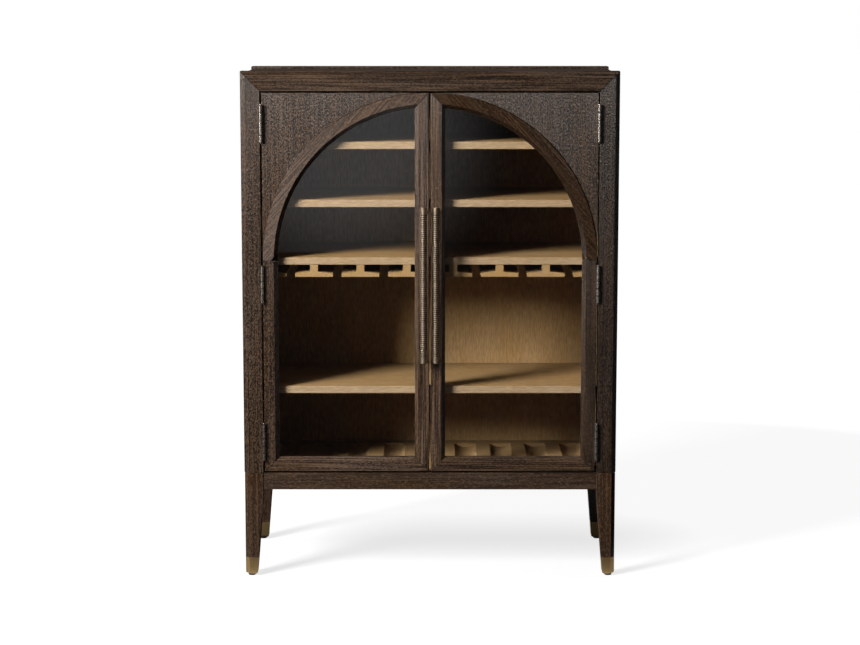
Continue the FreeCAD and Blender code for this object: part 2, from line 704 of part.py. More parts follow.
def pull_post(z):
    """Post with a rose on the stile and a saddle under the bar."""
    post = rod(PULL_POST_RADIUS, FRONT - PULL_Y, -PULL_X, PULL_Y, z, Y_AXIS)
    rose = rod(PULL_ROSE_RADIUS, PULL_ROSE_HEIGHT, -PULL_X, FRONT - PULL_ROSE_HEIGHT, z, Y_AXIS)
    saddle = rod(PULL_RADIUS + PULL_SEAT_GAP, PULL_LENGTH, -PULL_X, PULL_Y, PULL_BOTTOM, Z_AXIS)
    return post.fuse(rose).removeSplitter().cut(saddle).cut(pull_screw(z, PULL_SCREW_FIT))


def strike_plate():
    """Steel plate on the back of the door that the catch pulls."""
    x1 = -DOOR_MEETING - CATCH_FROM_CENTRE
    z1 = DOOR_TOP - STRIKE_FROM_TOP
    edge = DOOR_MEMBER - GLASS_REBATE + DOOR_MEETING
    return block(-edge, x1, DOOR_BACK, DOOR_BACK + STRIKE_THICKNESS, z1 - STRIKE_HEIGHT, z1)


def catch_body():
    """Magnetic catch under the front top rail, behind the left door."""
    y0 = DOOR_BACK + STRIKE_THICKNESS + STRIKE_AIR
    x1 = -DOOR_MEETING - CATCH_FROM_CENTRE
    return eased(block(x1 - CATCH_WIDTH, x1, y0, y0 + CATCH_DEPTH, CEILING - CATCH_HEIGHT, CEILING))


def left_door():
    """Every piece of the left door by node name."""
    hinge_holes = leaf_screws(True, SCREW_FIT)
    pull_holes = [pull_screw(z, PULL_SCREW_FIT) for z in PULL_POSTS_Z]
    stile = hinge_stile()
    spandrel = spandrel_panel()
    arch = arch_moulding()
    for hole in hinge_holes:
        stile = stile.cut(hole)
        spandrel = spandrel.cut(hole)
        arch = arch.cut(hole)
    meeting = meeting_stile()
    for hole in pull_holes:
        meeting = meeting.cut(hole)
    glass = arched_plate(FRONT + DOOR_LIP_DEPTH, GLASS_BACK, GLASS_CLEARANCE)
    return {"door_hinge_stile": [stile],
            "door_meeting_stile": [meeting],
            "door_bottom_rail": [door_bottom_rail()],
            "door_arch": [arch],
            "door_spandrel": [spandrel],
            "door_glass": [glass],
            "door_glass_beads": glass_beads(),
            "door_pull": [pull_bar()],
            "door_pull_posts": [pull_post(z) for z in PULL_POSTS_Z],
            "door_screws": leaf_screws(True, 0.0) + [pull_screw(z, 0.0) for z in PULL_POSTS_Z],
            "door_hinge_leaves": hinge_leaves(True),
            "door_strike": [strike_plate()]}


def build():
    """Make every piece and write it to its own file."""
    os.makedirs("parts", exist_ok=True)
    corners = [(side, front) for side in (-1, 1) for front in (-1, 1)]
    corner_names = {(-1, -1): "left_front", (1, -1): "right_front", (-1, 1): "left_rear", (1, 1): "right_rear"}

    side_panel = block(-SIDE_OUTER, -SIDE_INNER, POST_BACK - GROOVE_DEPTH, POST_FRONT + GROOVE_DEPTH,
                       BASE_HEIGHT, TOP_UNDER)
    back_panel = block(-INNER - GROOVE_DEPTH, INNER + GROOVE_DEPTH, BACK_FACE, BACK_REAR,
                       BASE_HEIGHT, CEILING + GROOVE_DEPTH)

    left_front = front_post().cut(side_panel)
    for hole in leaf_screws(False, SCREW_FIT) + dowels_at(-1, -1):
        left_front = left_front.cut(hole)
    left_rear = rear_post().cut(side_panel).cut(back_panel)
    for hole in dowels_at(-1, 1):
        left_rear = left_rear.cut(hole)
    save("left_front_post", left_front)
    save("right_front_post", mirrored(left_front))
    save("left_rear_post", left_rear)
    save("right_rear_post", mirrored(left_rear))
    save("front_top_rail", mitred_rail(front_rail_section()))
    save("rear_top_rail", mitred_rail(rear_rail_section()).cut(back_panel))
    save("left_side_panel", side_panel)
    save("right_side_panel", mirrored(side_panel))
    save("back_panel", back_panel)
    save("top_panel", eased(block(-SIDE_OUTER, SIDE_OUTER, POST_BACK, POST_FRONT, TOP_UNDER, TOP_FACE)))
    save("ceiling_panel", block(-LINING_OUTER, LINING_OUTER, POST_BACK, POST_FRONT,
                                CEILING, CEILING + CEILING_THICKNESS))

    third_shelf = stemware_shelf()
    loose_tops = [TOP_SHELF_TOP, SECOND_SHELF_TOP, LOWER_SHELF_TOP]
    lining = block(-LINING_OUTER, -INNER, POST_BACK, POST_FRONT, FLOOR_TOP, CEILING).cut(third_shelf)
    for top in loose_tops:
        for hole in pin_holes(top):
            lining = lining.cut(hole)
    save("left_side_lining", lining)
    save("right_side_lining", mirrored(lining))
    save("top_shelf", shelf(TOP_SHELF_TOP))
    save("second_shelf", shelf(SECOND_SHELF_TOP))
    save("stemware_shelf", third_shelf)
    save("lower_shelf", shelf(LOWER_SHELF_TOP))
    save("shelf_dividers", shelf_dividers())
    save("shelf_pins", [pin for top in loose_tops for pin in shelf_pins(top)])
    save("stemware_rails", stemware_rails())
    save("bottle_cradle", bottle_cradle())

    rail_out = LEG_OUTER - BASE_RAIL_SETBACK
    rail_in = rail_out - BASE_RAIL_THICKNESS
    rail_front = FRONT + BASE_INSET + BASE_RAIL_SETBACK
    rail_back = BACK - BASE_INSET - BASE_RAIL_SETBACK
    floor_x = rail_in + BOTTOM_GROOVE
    floor_front = rail_front + BASE_RAIL_THICKNESS - BOTTOM_GROOVE
    floor_back = rail_back - BASE_RAIL_THICKNESS + BOTTOM_GROOVE
    bottom_panel = block(-floor_x, floor_x, floor_front, floor_back, FLOOR_UNDER, FLOOR_TOP)
    for y0, y1 in ((FRONT, POST_BACK), (POST_FRONT, BACK)):
        bottom_panel = bottom_panel.cut(block(-HALF, -INNER, y0, y1, FLOOR_UNDER, FLOOR_TOP))
        bottom_panel = bottom_panel.cut(block(INNER, HALF, y0, y1, FLOOR_UNDER, FLOOR_TOP))
    save("bottom_panel", bottom_panel)
    front_rail = eased(block(-INNER, INNER, rail_front, rail_front + BASE_RAIL_THICKNESS,
                             RAIL_BOTTOM_Z, BASE_HEIGHT))
    rear_rail = eased(block(-INNER, INNER, rail_back - BASE_RAIL_THICKNESS, rail_back,
                            RAIL_BOTTOM_Z, BASE_HEIGHT))
    left_rail = eased(block(-rail_out, -rail_in, POST_BACK, POST_FRONT, RAIL_BOTTOM_Z, BASE_HEIGHT))
    save("base_front_rail", front_rail.cut(bottom_panel))
    save("base_rear_rail", rear_rail.cut(bottom_panel))
    side_rail = left_rail.cut(bottom_panel)
    save("base_side_rails", [side_rail, mirrored(side_rail)])
    for side, front in corners:
        save(corner_names[(side, front)] + "_leg", leg(side, front))
    save("leg_ferrules", [ferrule(side, front) for side, front in corners])
    save("foot_glides", [glide(side, front) for side, front in corners])
    save("case_dowels", [dowel for side, front in corners for dowel in dowels_at(side, front)])

    case_leaves = hinge_leaves(False)
    case_screws = leaf_screws(False, 0.0)
    pins = [hinge_pin(centre) for centre in HINGE_CENTRES]
    save("case_hinge_leaves", case_leaves + mirrored_all(case_leaves))
    save("case_hinge_screws", case_screws + mirrored_all(case_screws))
    save("hinge_pins", pins + mirrored_all(pins))
    save("door_catches", [catch_body(), mirrored(catch_body())])

    for name, solids in left_door().items():
        save("left_" + name, solids)
        save("right_" + name, mirrored_all(solids))


build()
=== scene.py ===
"""Finishes of a bar cabinet with arched glass doors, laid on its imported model, and the studio around it."""
import math
from collections import namedtuple

import bmesh
import bpy
from mathutils import Euler, Matrix, Vector


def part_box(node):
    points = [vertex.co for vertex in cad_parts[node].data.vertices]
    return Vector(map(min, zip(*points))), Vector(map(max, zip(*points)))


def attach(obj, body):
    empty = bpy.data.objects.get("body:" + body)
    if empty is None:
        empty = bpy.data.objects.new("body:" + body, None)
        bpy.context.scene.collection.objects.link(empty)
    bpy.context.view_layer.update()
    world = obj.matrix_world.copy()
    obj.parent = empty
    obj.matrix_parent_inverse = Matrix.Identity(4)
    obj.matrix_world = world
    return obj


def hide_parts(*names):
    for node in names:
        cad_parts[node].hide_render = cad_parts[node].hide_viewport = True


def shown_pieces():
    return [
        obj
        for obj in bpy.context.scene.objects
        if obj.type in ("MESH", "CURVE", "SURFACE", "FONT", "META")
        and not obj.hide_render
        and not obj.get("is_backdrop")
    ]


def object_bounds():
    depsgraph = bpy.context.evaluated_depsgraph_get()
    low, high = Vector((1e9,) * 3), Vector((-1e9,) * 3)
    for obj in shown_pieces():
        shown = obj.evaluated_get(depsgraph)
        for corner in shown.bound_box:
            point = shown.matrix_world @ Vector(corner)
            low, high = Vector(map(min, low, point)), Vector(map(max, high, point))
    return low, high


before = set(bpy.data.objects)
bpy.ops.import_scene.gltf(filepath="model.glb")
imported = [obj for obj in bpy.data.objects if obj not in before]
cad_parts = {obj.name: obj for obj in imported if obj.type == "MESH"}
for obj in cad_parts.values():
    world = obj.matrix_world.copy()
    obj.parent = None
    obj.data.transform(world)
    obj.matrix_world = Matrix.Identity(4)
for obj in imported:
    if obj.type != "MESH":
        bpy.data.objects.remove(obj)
CAD_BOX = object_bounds()

bl_info = {
    "name": "Arched bar cabinet",
    "version": (1, 0, 0),
    "blender": (4, 5, 0),
    "location": "View3D > Sidebar > Cabinet",
    "description": "Oak, brass and glass finishes for an arched bar cabinet, and its studio",
    "category": "Object",
}

SIDES = ("left", "right")
CORNERS = ("left_front", "right_front", "left_rear", "right_rear")
MM = 0.001
BLACK = (0.0, 0.0, 0.0, 1.0)
WHITE = (1.0, 1.0, 1.0, 1.0)
ZERO = (0.0, 0.0, 0.0)

# Directions of the grain: how a board is turned so that its length lies along Z
UPRIGHT = (0.0, 0.0, 0.0)
CROSSWISE = (0.0, -math.pi / 2, 0.0)
FRONT_TO_BACK = (math.pi / 2, 0.0, 0.0)
ARCH_SLANT = math.radians(42.0)
SLANTED = {"left": (0.0, -ARCH_SLANT, 0.0), "right": (0.0, ARCH_SLANT, 0.0)}

# Step between the places in the log from which neighbouring boards are cut, in metres
CUT_STEP = Vector((0.371, 0.213, 0.537))

# Numbers of the first boards cut for the case, the interior and the doors
CASE_CUT = 1
INTERIOR_CUT = 31
DOOR_CUT = 51

# How light a board is against the rest of its oak: partly its own tone, partly painted light and shade
# Painted light: boards lighter where more light falls on them, darker where less does, as on the right rear
# leg
TONES_AND_PAINTED_LIGHT = {"left_front_post": 0.90, "right_front_post": 0.66, "front_top_rail": 0.87, "base_front_rail": 1.15,
          "left_door_hinge_stile": 1.02, "right_door_hinge_stile": 0.80,
          "left_door_meeting_stile": 1.47, "right_door_meeting_stile": 1.55,
          "left_door_bottom_rail": 1.33, "right_door_bottom_rail": 1.12,
          "left_door_spandrel": 1.02, "right_door_spandrel": 0.95,
          "left_door_arch": 1.6, "right_door_arch": 0.9,
          "left_front_leg": 1.3, "right_front_leg": 1.55, "right_rear_leg": 0.6,
          "back_panel": 1.15, "left_side_lining": 1.2, "right_side_lining": 1.2}

# Boards whose face shows long streaks more than specks, and boards with a quieter grain and less gloss
STREAKED = ("front_top_rail", "meeting_stile", "bottom_rail", "door_arch")
QUIET = ("_leg", "base_front_rail", "door_arch")

# Share of specks in the grain of streaked, quiet and other boards
STREAKED_SPECKS = 0.3
QUIET_SPECKS = 0.45
PLAIN_SPECKS = 0.6

# How far the tones of a quiet board draw in from the deepest and palest
QUIET_CALM = 0.25

# Gloss of a board, as a specular level and an index of refraction
SATIN = (0.7, 1.75)
DULL = (0.25, 1.5)
MATT = (0.1, 1.5)

# How far the gloss is drawn out across the grain, on upright or slanted boards and on level ones
BRUSHED = 1.0
LEVEL_BRUSHED = 0.3

# Roughness of an oak face, in its pores and on its ridges, and the strength and depth of its relief
PORE_ROUGHNESS = 0.62
RIDGE_ROUGHNESS = 0.48
RELIEF_STRENGTH = 0.5
RELIEF_DEPTH = 0.5 * MM

# Added to the direction across the grain, so that it has a length on the end of a board too
NEVER_ZERO = (0.003, 0.002, 0.001)

# Y of a face's normal where it starts to count as facing the front, and where it fully does
FRONT_RANGE = (-0.5, -0.9)

# Dark tones of the joints between boards and of the lines in metal, and the full-dark share of a joint
# The lines in metal are the joints between hinge knuckles and painted shade in the grooves of the pulls
JOINT_TONE = (0.004, 0.0025, 0.002)
METAL_JOINT_AND_GROOVE_SHADE_TONE = (0.012, 0.009, 0.007)
JOINT_CORE = 0.4

# Painted shade in the grooves of a pull, and the distances from a knuckle's joint between which its line
# fades
GROOVE_PAINTED_SHADE = 0.85
KNUCKLE_LINE = (0.6 * MM, 1.0 * MM)

# Pane: its tint, the tint of its shadow, the tint of its gloss and its index of refraction
PANE_TINT = (0.97, 0.985, 0.975, 1.0)
PANE_SHADOW_TINT = (0.95, 0.965, 0.955, 1.0)
PANE_GLOSS_TINT = (0.8, 0.8, 0.8, 1.0)
PANE_IOR = 1.45

# Darker and paler grit of the plastic, and the roughness of each
PLASTIC_DARK = (0.012, 0.012, 0.012)
PLASTIC_PALE = (0.028, 0.027, 0.026)
PLASTIC_ROUGHNESS = (0.42, 0.62)

# Steps of the noises in oak, in a streak's width, width and length, and how far it wavers, in widths
WAVER_STEP = (0.05, 0.05, 0.9)
BAND_STEP = (0.06, 0.06, 0.67)
SPECK_STEP = (1.1, 1.1, 0.6)
WAVER_REACH = 2.5

# Levels of the noises between which streaks, pores, bands, clouds and scratches go from none to full
STREAK_RANGE = (0.40, 0.60)
PORE_RANGE = (0.54, 0.68)
BAND_RANGE = (0.32, 0.68)
CLOUD_RANGE = (0.35, 0.70)
SCRATCH_RANGE = (0.3, 0.7)

# Clouds, scratches and plastic grit to a metre along X, Y and Z, and how far scratches change the roughness
CLOUD_COUNT = (90.0, 90.0, 60.0)
SCRATCH_COUNT = (2500.0, 2500.0, 160.0)
GRIT_COUNT = (1400.0, 1400.0, 1400.0)
SCRATCH_SPREAD = 0.06

# Length of a hinge with its tips, and of one of its knuckles
HINGE_LENGTH = 0.105
KNUCKLE = 0.020

# Turns that point a screw's tip, which is modelled pointing down, to the left, the right or the front
TIP_LEFT = (0.0, math.pi / 2, 0.0)
TIP_RIGHT = (0.0, -math.pi / 2, 0.0)
TIP_FORWARD = (-math.pi / 2, 0.0, 0.0)

# Sides of a screw, and its crossed recess as shares of the head's radius
SCREW_SIDES = 12
RECESS_ARM = 0.62
RECESS_HALF_WIDTH = 0.17

# Tip of a hinge screw and both ends of a pull screw, as shares of lengths and radii
TIP_START = 0.85
TIP_WIDTH = 0.2
DOME_WIDTH = 0.8
DOME_START = 0.6
PULL_END_SLOPE = 0.4
PULL_END_WIDTH = 0.6

# Steps along each rib of a pull, and where a groove's side starts and ends, in ribs from its middle
RIB_STEPS = 8
GROOVE_SPAN = (0.09, 0.24)

# The room of dark cards: its half width, its front, the front of its floor a little beyond, its back and
# top, and the height and back of its ceiling
ROOM_SIDE = 5.0
ROOM_FRONT = -8.0
FLOOR_FRONT = -8.1
ROOM_BACK = 5.0
ROOM_TOP = 6.0
CEILING = 4.1
CEILING_BACK = 1.0

# Half width and height of the front card, and the left, near, right and far edges of the card underneath
FRONT_CARD_SIDE = 4.0
FRONT_CARD_TOP = 4.0
UNDER_CARD = (-0.6, -0.15, 0.6, 0.3)

# Height of the floor cards and of the walls' feet, and the floor's edges at the cabinet
FLOOR_CARD = 2.0 * MM
WALL_FOOT = 20.0 * MM
FRONT_EDGE = -0.26
SIDE_EDGE = 0.8
REAR_EDGE = 0.6

# Soft patches on the front and back cards: middle and reach of each, and the share of it at full strength
HAZE_MIDDLE = (-0.55, ROOM_FRONT, 0.75)
HAZE_REACH = (1.1, 1.0, 1.1)
GLOW_MIDDLE = (0.0, ROOM_BACK, 2.0)
GLOW_REACH = (3.0, 1.0, 1.2)
PATCH_CORE = 0.25

# Half the studio floor's width, its own tone, and its tone in light that bounces on from it
FLOOR_HALF = 60.0
FLOOR_TONE = (0.4, 0.4, 0.4, 1.0)
FLOOR_BOUNCE = (0.12, 0.12, 0.12, 1.0)

# Painted shadow on the floor: half the footprint from which it fades, how far out it has faded, the floor's
# glow there, and how far out that glow is full white
FOOTPRINT = (0.47, 0.22, 0.0)
SHADOW_REACH = 0.35
SHADOW_END_GLOW = 0.93
WHITE_REACH = 2.0

# Place of the right lamp behind the cabinet, and the width of both
REAR_LAMP = Vector((2.4, 4.2, 2.4))
REAR_LAMP_WIDTH = 2.0

# What sets one board's oak apart
Finish = namedtuple("Finish", "deep main pale pores banding streak speck gloss dimming")


def joint(point, angle):
    """Plane through a point of the front that faces an angle above +X: its facing and its distance."""
    facing = Vector((math.cos(angle), 0.0, math.sin(angle)))
    return facing, facing.dot(point)


def board_joints():
    """Planes where the boards of the front meet, by board."""
    square = math.pi / 2
    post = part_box("left_front_post")[0]
    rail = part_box("front_top_rail")[1]
    hinge_low, hinge_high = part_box("left_door_hinge_stile")
    meeting_low, meeting_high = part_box("left_door_meeting_stile")
    arch_inside = hinge_high.z + math.sqrt(hinge_high.x ** 2 - meeting_low.x ** 2)
    slope = math.atan2(meeting_high.z - arch_inside, meeting_high.x - meeting_low.x)
    case_mitre = joint(Vector((post.x, post.y, rail.z)), square / 2)
    hinge_mitre = joint(hinge_low, -square / 2)
    meeting_mitre = joint(Vector((meeting_high.x, meeting_high.y, meeting_low.z)), square / 2)
    spring = joint(hinge_high, square)
    crown = joint(meeting_high, slope - square)
    joints = {"left_front_post": [case_mitre],
              "left_door_hinge_stile": [hinge_mitre, spring],
              "left_door_meeting_stile": [meeting_mitre, crown],
              "left_door_bottom_rail": [hinge_mitre, meeting_mitre],
              "left_door_arch": [spring, crown]}
    for board, planes in list(joints.items()):
        mirrored = [(Vector((-facing.x, 0.0, facing.z)), distance) for facing, distance in planes]
        joints[board.replace("left_", "right_")] = mirrored
    joints["front_top_rail"] = joints["left_front_post"] + joints["right_front_post"]
    return joints


JOINTS = board_joints()


# Kinds of setting

def tone(name, description, default):
    """Setting for a colour."""
    return bpy.props.FloatVectorProperty(
        name=name, description=description, subtype="COLOR", size=3, min=0.0, max=1.0, default=default)


def metres(name, description, default):
    """Setting for a length in metres."""
    return bpy.props.FloatProperty(
        name=name, description=description, unit="LENGTH", min=0.1 * MM, default=default)


def fraction(name, description, default):
    """Setting for a share, from none to all."""
    return bpy.props.FloatProperty(
        name=name, description=description, subtype="FACTOR", min=0.0, max=1.0, default=default)


def amount(name, description, default):
    """Setting for a strength."""
    return bpy.props.FloatProperty(name=name, description=description, min=0.0, default=default)


def count(name, description, lowest, default):
    """Setting for a number of things."""
    return bpy.props.IntProperty(name=name, description=description, min=lowest, default=default)


def degrees(name, description, default):
    """Setting for an angle, from its degrees."""
    return bpy.props.FloatProperty(
        name=name, description=description, subtype="ANGLE", default=math.radians(default))


def watts(name, description, default):
    """Setting for the power of a lamp in watts."""
    return bpy.props.FloatProperty(name=name, description=description, unit="POWER", min=0.0, default=default)


def location(name, description, default):
    """Setting for a place in metres."""
    return bpy.props.FloatVectorProperty(
        name=name, description=description, subtype="TRANSLATION", size=3, default=default)


class OakFinish(bpy.types.PropertyGroup):
    """Colours and grain of the two oak finishes."""
    smoked_deep: tone("Smoked oak, deep", "Darkest streaks of the outer oak", (0.0060, 0.0030, 0.0016))
    smoked_main: tone("Smoked oak, main", "Main tone of the outer oak", (0.036, 0.0195, 0.0111))
    smoked_pale: tone("Smoked oak, pale", "Pale streaks and pores of the outer oak", (0.122, 0.072, 0.042))
    smoked_pores: fraction("Smoked pores", "How far the pores of the outer oak take its pale tone", 0.5)
    smoked_banding: fraction("Smoked banding", "Strength of the broad bands in the outer oak", 0.12)
    smoked_length: metres("Smoked streak", "Length of a streak along the grain of the outer oak", 0.260)
    smoked_speck: metres("Smoked speck", "Length of a speck along the grain of the outer oak", 0.0055)
    natural_deep: tone("Natural oak, deep", "Darker streaks of the inner oak", (0.470, 0.270, 0.116))
    natural_main: tone("Natural oak, main", "Main tone of the inner oak", (0.540, 0.315, 0.138))
    natural_pale: tone("Natural oak, pale", "Pale streaks of the inner oak", (0.610, 0.368, 0.167))
    natural_pores: fraction("Natural pores", "How far the pores of the inner oak take its pale tone", 0.2)
    natural_banding: fraction("Natural banding", "Strength of the broad bands in the inner oak", 0.03)
    natural_length: metres("Natural streak", "Length of a streak along the grain of the inner oak", 0.100)
    natural_speck: metres("Natural speck", "Length of a speck along the grain of the inner oak", 0.020)
    natural_dimming: fraction("Natural dimming", "How much darker the inner oak is in bounced light", 0.72)
    # Painted sheen: the front faces of the shelves are drawn paler and less saturated
    painted_sheen_lift: amount("Edge lift", "How much paler the lipped front edges of the shelves are", 0.04)
    painted_sheen_fade: fraction("Edge fade", "How much less saturated the front edges of the shelves are", 0.18)
    grain_width: metres("Grain width", "Width of a streak across the grain", 0.0030)
    joint_width: metres("Joint width", "Width of the dark line where two boards meet", 0.0022)


class MetalFinish(bpy.types.PropertyGroup):
    """Colours of the metal pieces."""
    brass: tone("Antique brass", "Bright tone of the ferrules and pins", (0.320, 0.218, 0.098))
    brass_patina: tone("Brass patina", "Aged tone that clouds the brass", (0.275, 0.184, 0.082))
    pull_brass: tone("Pull brass", "Greyer tone of the pulls", (0.385, 0.298, 0.215))
    pull_patina: tone("Pull patina", "Dark tone that clouds the pulls", (0.190, 0.142, 0.099))
    bronze: tone("Hinge bronze", "Bright tone of the hinges", (0.850, 0.780, 0.680))
    bronze_patina: tone("Bronze patina", "Aged tone that clouds the hinges", (0.550, 0.480, 0.400))
    steel: tone("Screw steel", "Tone of screws and strike plates", (0.480, 0.460, 0.430))
    steel_stain: tone("Steel stain", "Duller tone that clouds the steel", (0.330, 0.310, 0.290))


class PullSizes(bpy.types.PropertyGroup):
    """Sizes of the ribbed pull bars."""
    rib_count: count("Ribs", "Ribs between the plain ends of a pull", 1, 67)
    end_length: metres("Plain end", "Length of each plain end", 0.021)
    groove_depth: metres("Groove depth", "Depth of the groove between two ribs", 0.0012)
    end_chamfer: metres("End chamfer", "Chamfer on the rim of each end", 0.0012)
    sides: count("Sides", "Sides of the round bar", 8, 20)


class ScrewSizes(bpy.types.PropertyGroup):
    """Sizes of the screws and where they sit in a hinge leaf."""
    head_radius: metres("Head radius", "Radius of a countersunk head", 0.0032)
    head_height: metres("Head height", "Depth of the countersink", 0.0018)
    shank_radius: metres("Shank radius", "Radius of the shank", 0.0016)
    length: metres("Length", "Length from the head to the tip", 0.018)
    recess_depth: metres("Recess depth", "Depth of the crossed recess", 0.0009)
    spread: metres("Spread", "Height from the middle screw of a leaf to its outer ones", 0.035)
    near_edge: metres("Near the front", "Depth of the outer screws behind the front", 0.008)
    far_edge: metres("Far from the front", "Depth of the middle screw behind the front", 0.015)
    pull_head_radius: metres("Pull head radius", "Radius of the heads behind a pull", 0.004)
    pull_head_height: metres("Pull head height", "Height of the heads behind a pull", 0.0025)
    pull_shank_radius: metres("Pull shank radius", "Shank radius of the pull screws", 0.002)
    pull_length: metres("Pull screw length", "Length of a pull screw under its head", 0.038)
    pull_inset: metres("Pull screw inset", "From a pull's end to its nearer screw", 0.0105)
    pull_recess_depth: metres("Pull recess depth", "Depth of the recess in the pull screws", 0.00126)


class StudioSettings(bpy.types.PropertyGroup):
    """Camera, lamps and background."""
    camera_distance: metres("Camera distance", "From the front of the doors to the camera", 6.00)
    camera_height: metres("Camera height", "Camera above the floor", 1.582)
    camera_tilt: degrees("Camera tilt", "How far the camera looks down", 8.317)
    lens: bpy.props.FloatProperty(
        name="Lens", description="Focal length on the sensor", unit="CAMERA", default=93.79)
    sensor: bpy.props.FloatProperty(
        name="Sensor", description="Width of the sensor", unit="CAMERA", default=36.0)
    key_place: location("Key lamp", "Place of the key lamp", (-2.78, -2.54, 2.47))
    key_aim: location("Key aim", "Point that the key lamp faces", (0.0, -0.21, 1.00))
    key_width: metres("Key width", "Width of the key lamp", 1.10)
    key_height: metres("Key height", "Height of the key lamp", 2.00)
    key_spread: degrees("Key spread", "Angle over which the key lamp throws its light", 100.0)
    key_power: watts("Key power", "Power of the key lamp", 79.0)
    rear_power: watts("Rear power", "Power of each lamp behind the cabinet", 115.0)
    ambient: amount("Ambient", "Level of the light that comes from all round", 0.02)
    surround: amount("Surround", "Level of the white background in the gloss of the pieces", 0.45)
    card_shade: amount("Card shade", "Level of the dark cards that the gloss reflects", 0.03)
    haze: amount("Haze", "Level of the soft patch that the left pane reflects", 0.75)
    back_glow: amount("Back glow", "Level of the soft patch behind the cabinet that its top reflects", 0.25)
    # The floor's glow is lowest near the cabinet: a painted shadow round its footprint
    floor_glow: fraction("Floor glow", "White that the floor adds to its own shade near the cabinet", 0.76)


# Helpers for node trees

def feed(tree, socket, source):
    """Give an input a value, or the output of another node."""
    if isinstance(source, bpy.types.NodeSocket):
        tree.links.new(source, socket)
    else:
        socket.default_value = source


def add(tree, kind, inputs=None, **settings):
    """New node with its settings, and with what its inputs are fed, by their names or numbers."""
    node = tree.nodes.new(kind)
    for name, value in settings.items():
        setattr(node, name, value)
    for label, source in (inputs or {}).items():
        feed(tree, node.inputs[label], source)
    return node


def coordinates(tree, kind):
    """Place or normal on the piece itself."""
    return add(tree, "ShaderNodeTexCoord").outputs[kind]


def ray(tree, kind):
    """One for rays of a kind."""
    return add(tree, "ShaderNodeLightPath").outputs[kind]


def math_node(tree, operation, *sources):
    """Result of one sum on numbers."""
    return add(tree, "ShaderNodeMath", dict(enumerate(sources)), operation=operation).outputs[0]


def vector_node(tree, operation, *sources):
    """Vector that one sum on vectors gives."""
    return add(tree, "ShaderNodeVectorMath", dict(enumerate(sources)), operation=operation).outputs["Vector"]


def measure(tree, operation, *sources):
    """Number that one sum on vectors gives."""
    return add(tree, "ShaderNodeVectorMath", dict(enumerate(sources)), operation=operation).outputs["Value"]


def axis_of(tree, vector, axis):
    """One axis of a vector."""
    return add(tree, "ShaderNodeSeparateXYZ", {0: vector}).outputs[axis]


def mix_colours(tree, share, first, second):
    """Colour between two colours."""
    node = add(tree, "ShaderNodeMix", data_type="RGBA")
    sockets = [socket for socket in node.inputs if socket.enabled]
    for socket, source in zip(sockets, (share, first, second)):
        feed(tree, socket, source)
    return next(socket for socket in node.outputs if socket.enabled)


def remap(tree, value, low, high, to_low=0.0, to_high=1.0):
    """Value moved from one range to another and kept inside it."""
    ranges = {"Value": value, "From Min": low, "From Max": high, "To Min": to_low, "To Max": to_high}
    return add(tree, "ShaderNodeMapRange", ranges).outputs["Result"]


def noise(tree, place, detail, roughness):
    """Noise of unit scale at a place."""
    inputs = {"Vector": place, "Scale": 1.0, "Detail": detail, "Roughness": roughness}
    return add(tree, "ShaderNodeTexNoise", inputs).outputs["Fac"]


def opaque(colour):
    """Colour with full alpha."""
    return (*colour, 1.0)


def new_group(name, inputs, outputs):
    """Shader node group with its sockets, its input node and its output node."""
    tree = bpy.data.node_groups.new(name, "ShaderNodeTree")
    for label, kind in inputs:
        tree.interface.new_socket(label, in_out="INPUT", socket_type=kind)
    for label, kind in outputs:
        tree.interface.new_socket(label, in_out="OUTPUT", socket_type=kind)
    return tree, tree.nodes.new("NodeGroupInput"), tree.nodes.new("NodeGroupOutput")


def new_material(name):
    """Material with one principled shader."""
    material = bpy.data.materials.new(name)
    material.use_nodes = True
    tree = material.node_tree
    tree.nodes.clear()
    output = tree.nodes.new("ShaderNodeOutputMaterial")
    shader = tree.nodes.new("ShaderNodeBsdfPrincipled")
    tree.links.new(shader.outputs["BSDF"], output.inputs["Surface"])
    return material, tree, shader


# Shared effects

def oak_grain_group():
    """Streaks, pores, broad bands and relief of brushed oak, for a board whose length lies along Z."""
    name = "oak_grain"
    if name in bpy.data.node_groups:
        return bpy.data.node_groups[name]
    numbers = ("Grain Width", "Grain Length", "Speck Length", "Speck Share")
    inputs = [("Place", "NodeSocketVector"), *((label, "NodeSocketFloat") for label in numbers)]
    outputs = [(label, "NodeSocketFloat") for label in ("Streaks", "Pores", "Bands", "Relief")]
    tree, given, result = new_group(name, inputs, outputs)
    places = []
    for along in ("Grain Length", "Speck Length"):
        width = given.outputs["Grain Width"]
        unit = add(tree, "ShaderNodeCombineXYZ", {"X": width, "Y": width, "Z": given.outputs[along]})
        places.append(vector_node(tree, "DIVIDE", given.outputs["Place"], unit.outputs[0]))
    waver = noise(tree, vector_node(tree, "MULTIPLY", places[0], WAVER_STEP), 1.0, 0.5)
    shift = add(tree, "ShaderNodeCombineXYZ", {"X": math_node(tree, "MULTIPLY", waver, WAVER_REACH)})
    far, near = [vector_node(tree, "ADD", place, shift.outputs[0]) for place in places]
    broad = noise(tree, vector_node(tree, "MULTIPLY", far, BAND_STEP), 2.0, 0.5)
    long_lines = noise(tree, far, 2.0, 0.6)
    short_lines = noise(tree, near, 1.0, 0.5)
    specks = noise(tree, vector_node(tree, "MULTIPLY", near, SPECK_STEP), 1.0, 0.5)
    change = math_node(tree, "SUBTRACT", short_lines, long_lines)
    speckled = math_node(tree, "MULTIPLY", given.outputs["Speck Share"], change)
    streaks = remap(tree, math_node(tree, "ADD", long_lines, speckled), *STREAK_RANGE)
    pores = remap(tree, specks, *PORE_RANGE)
    feed(tree, result.inputs["Streaks"], streaks)
    feed(tree, result.inputs["Pores"], pores)
    feed(tree, result.inputs["Bands"], remap(tree, broad, *BAND_RANGE))
    feed(tree, result.inputs["Relief"], math_node(tree, "SUBTRACT", streaks, pores))
    return tree


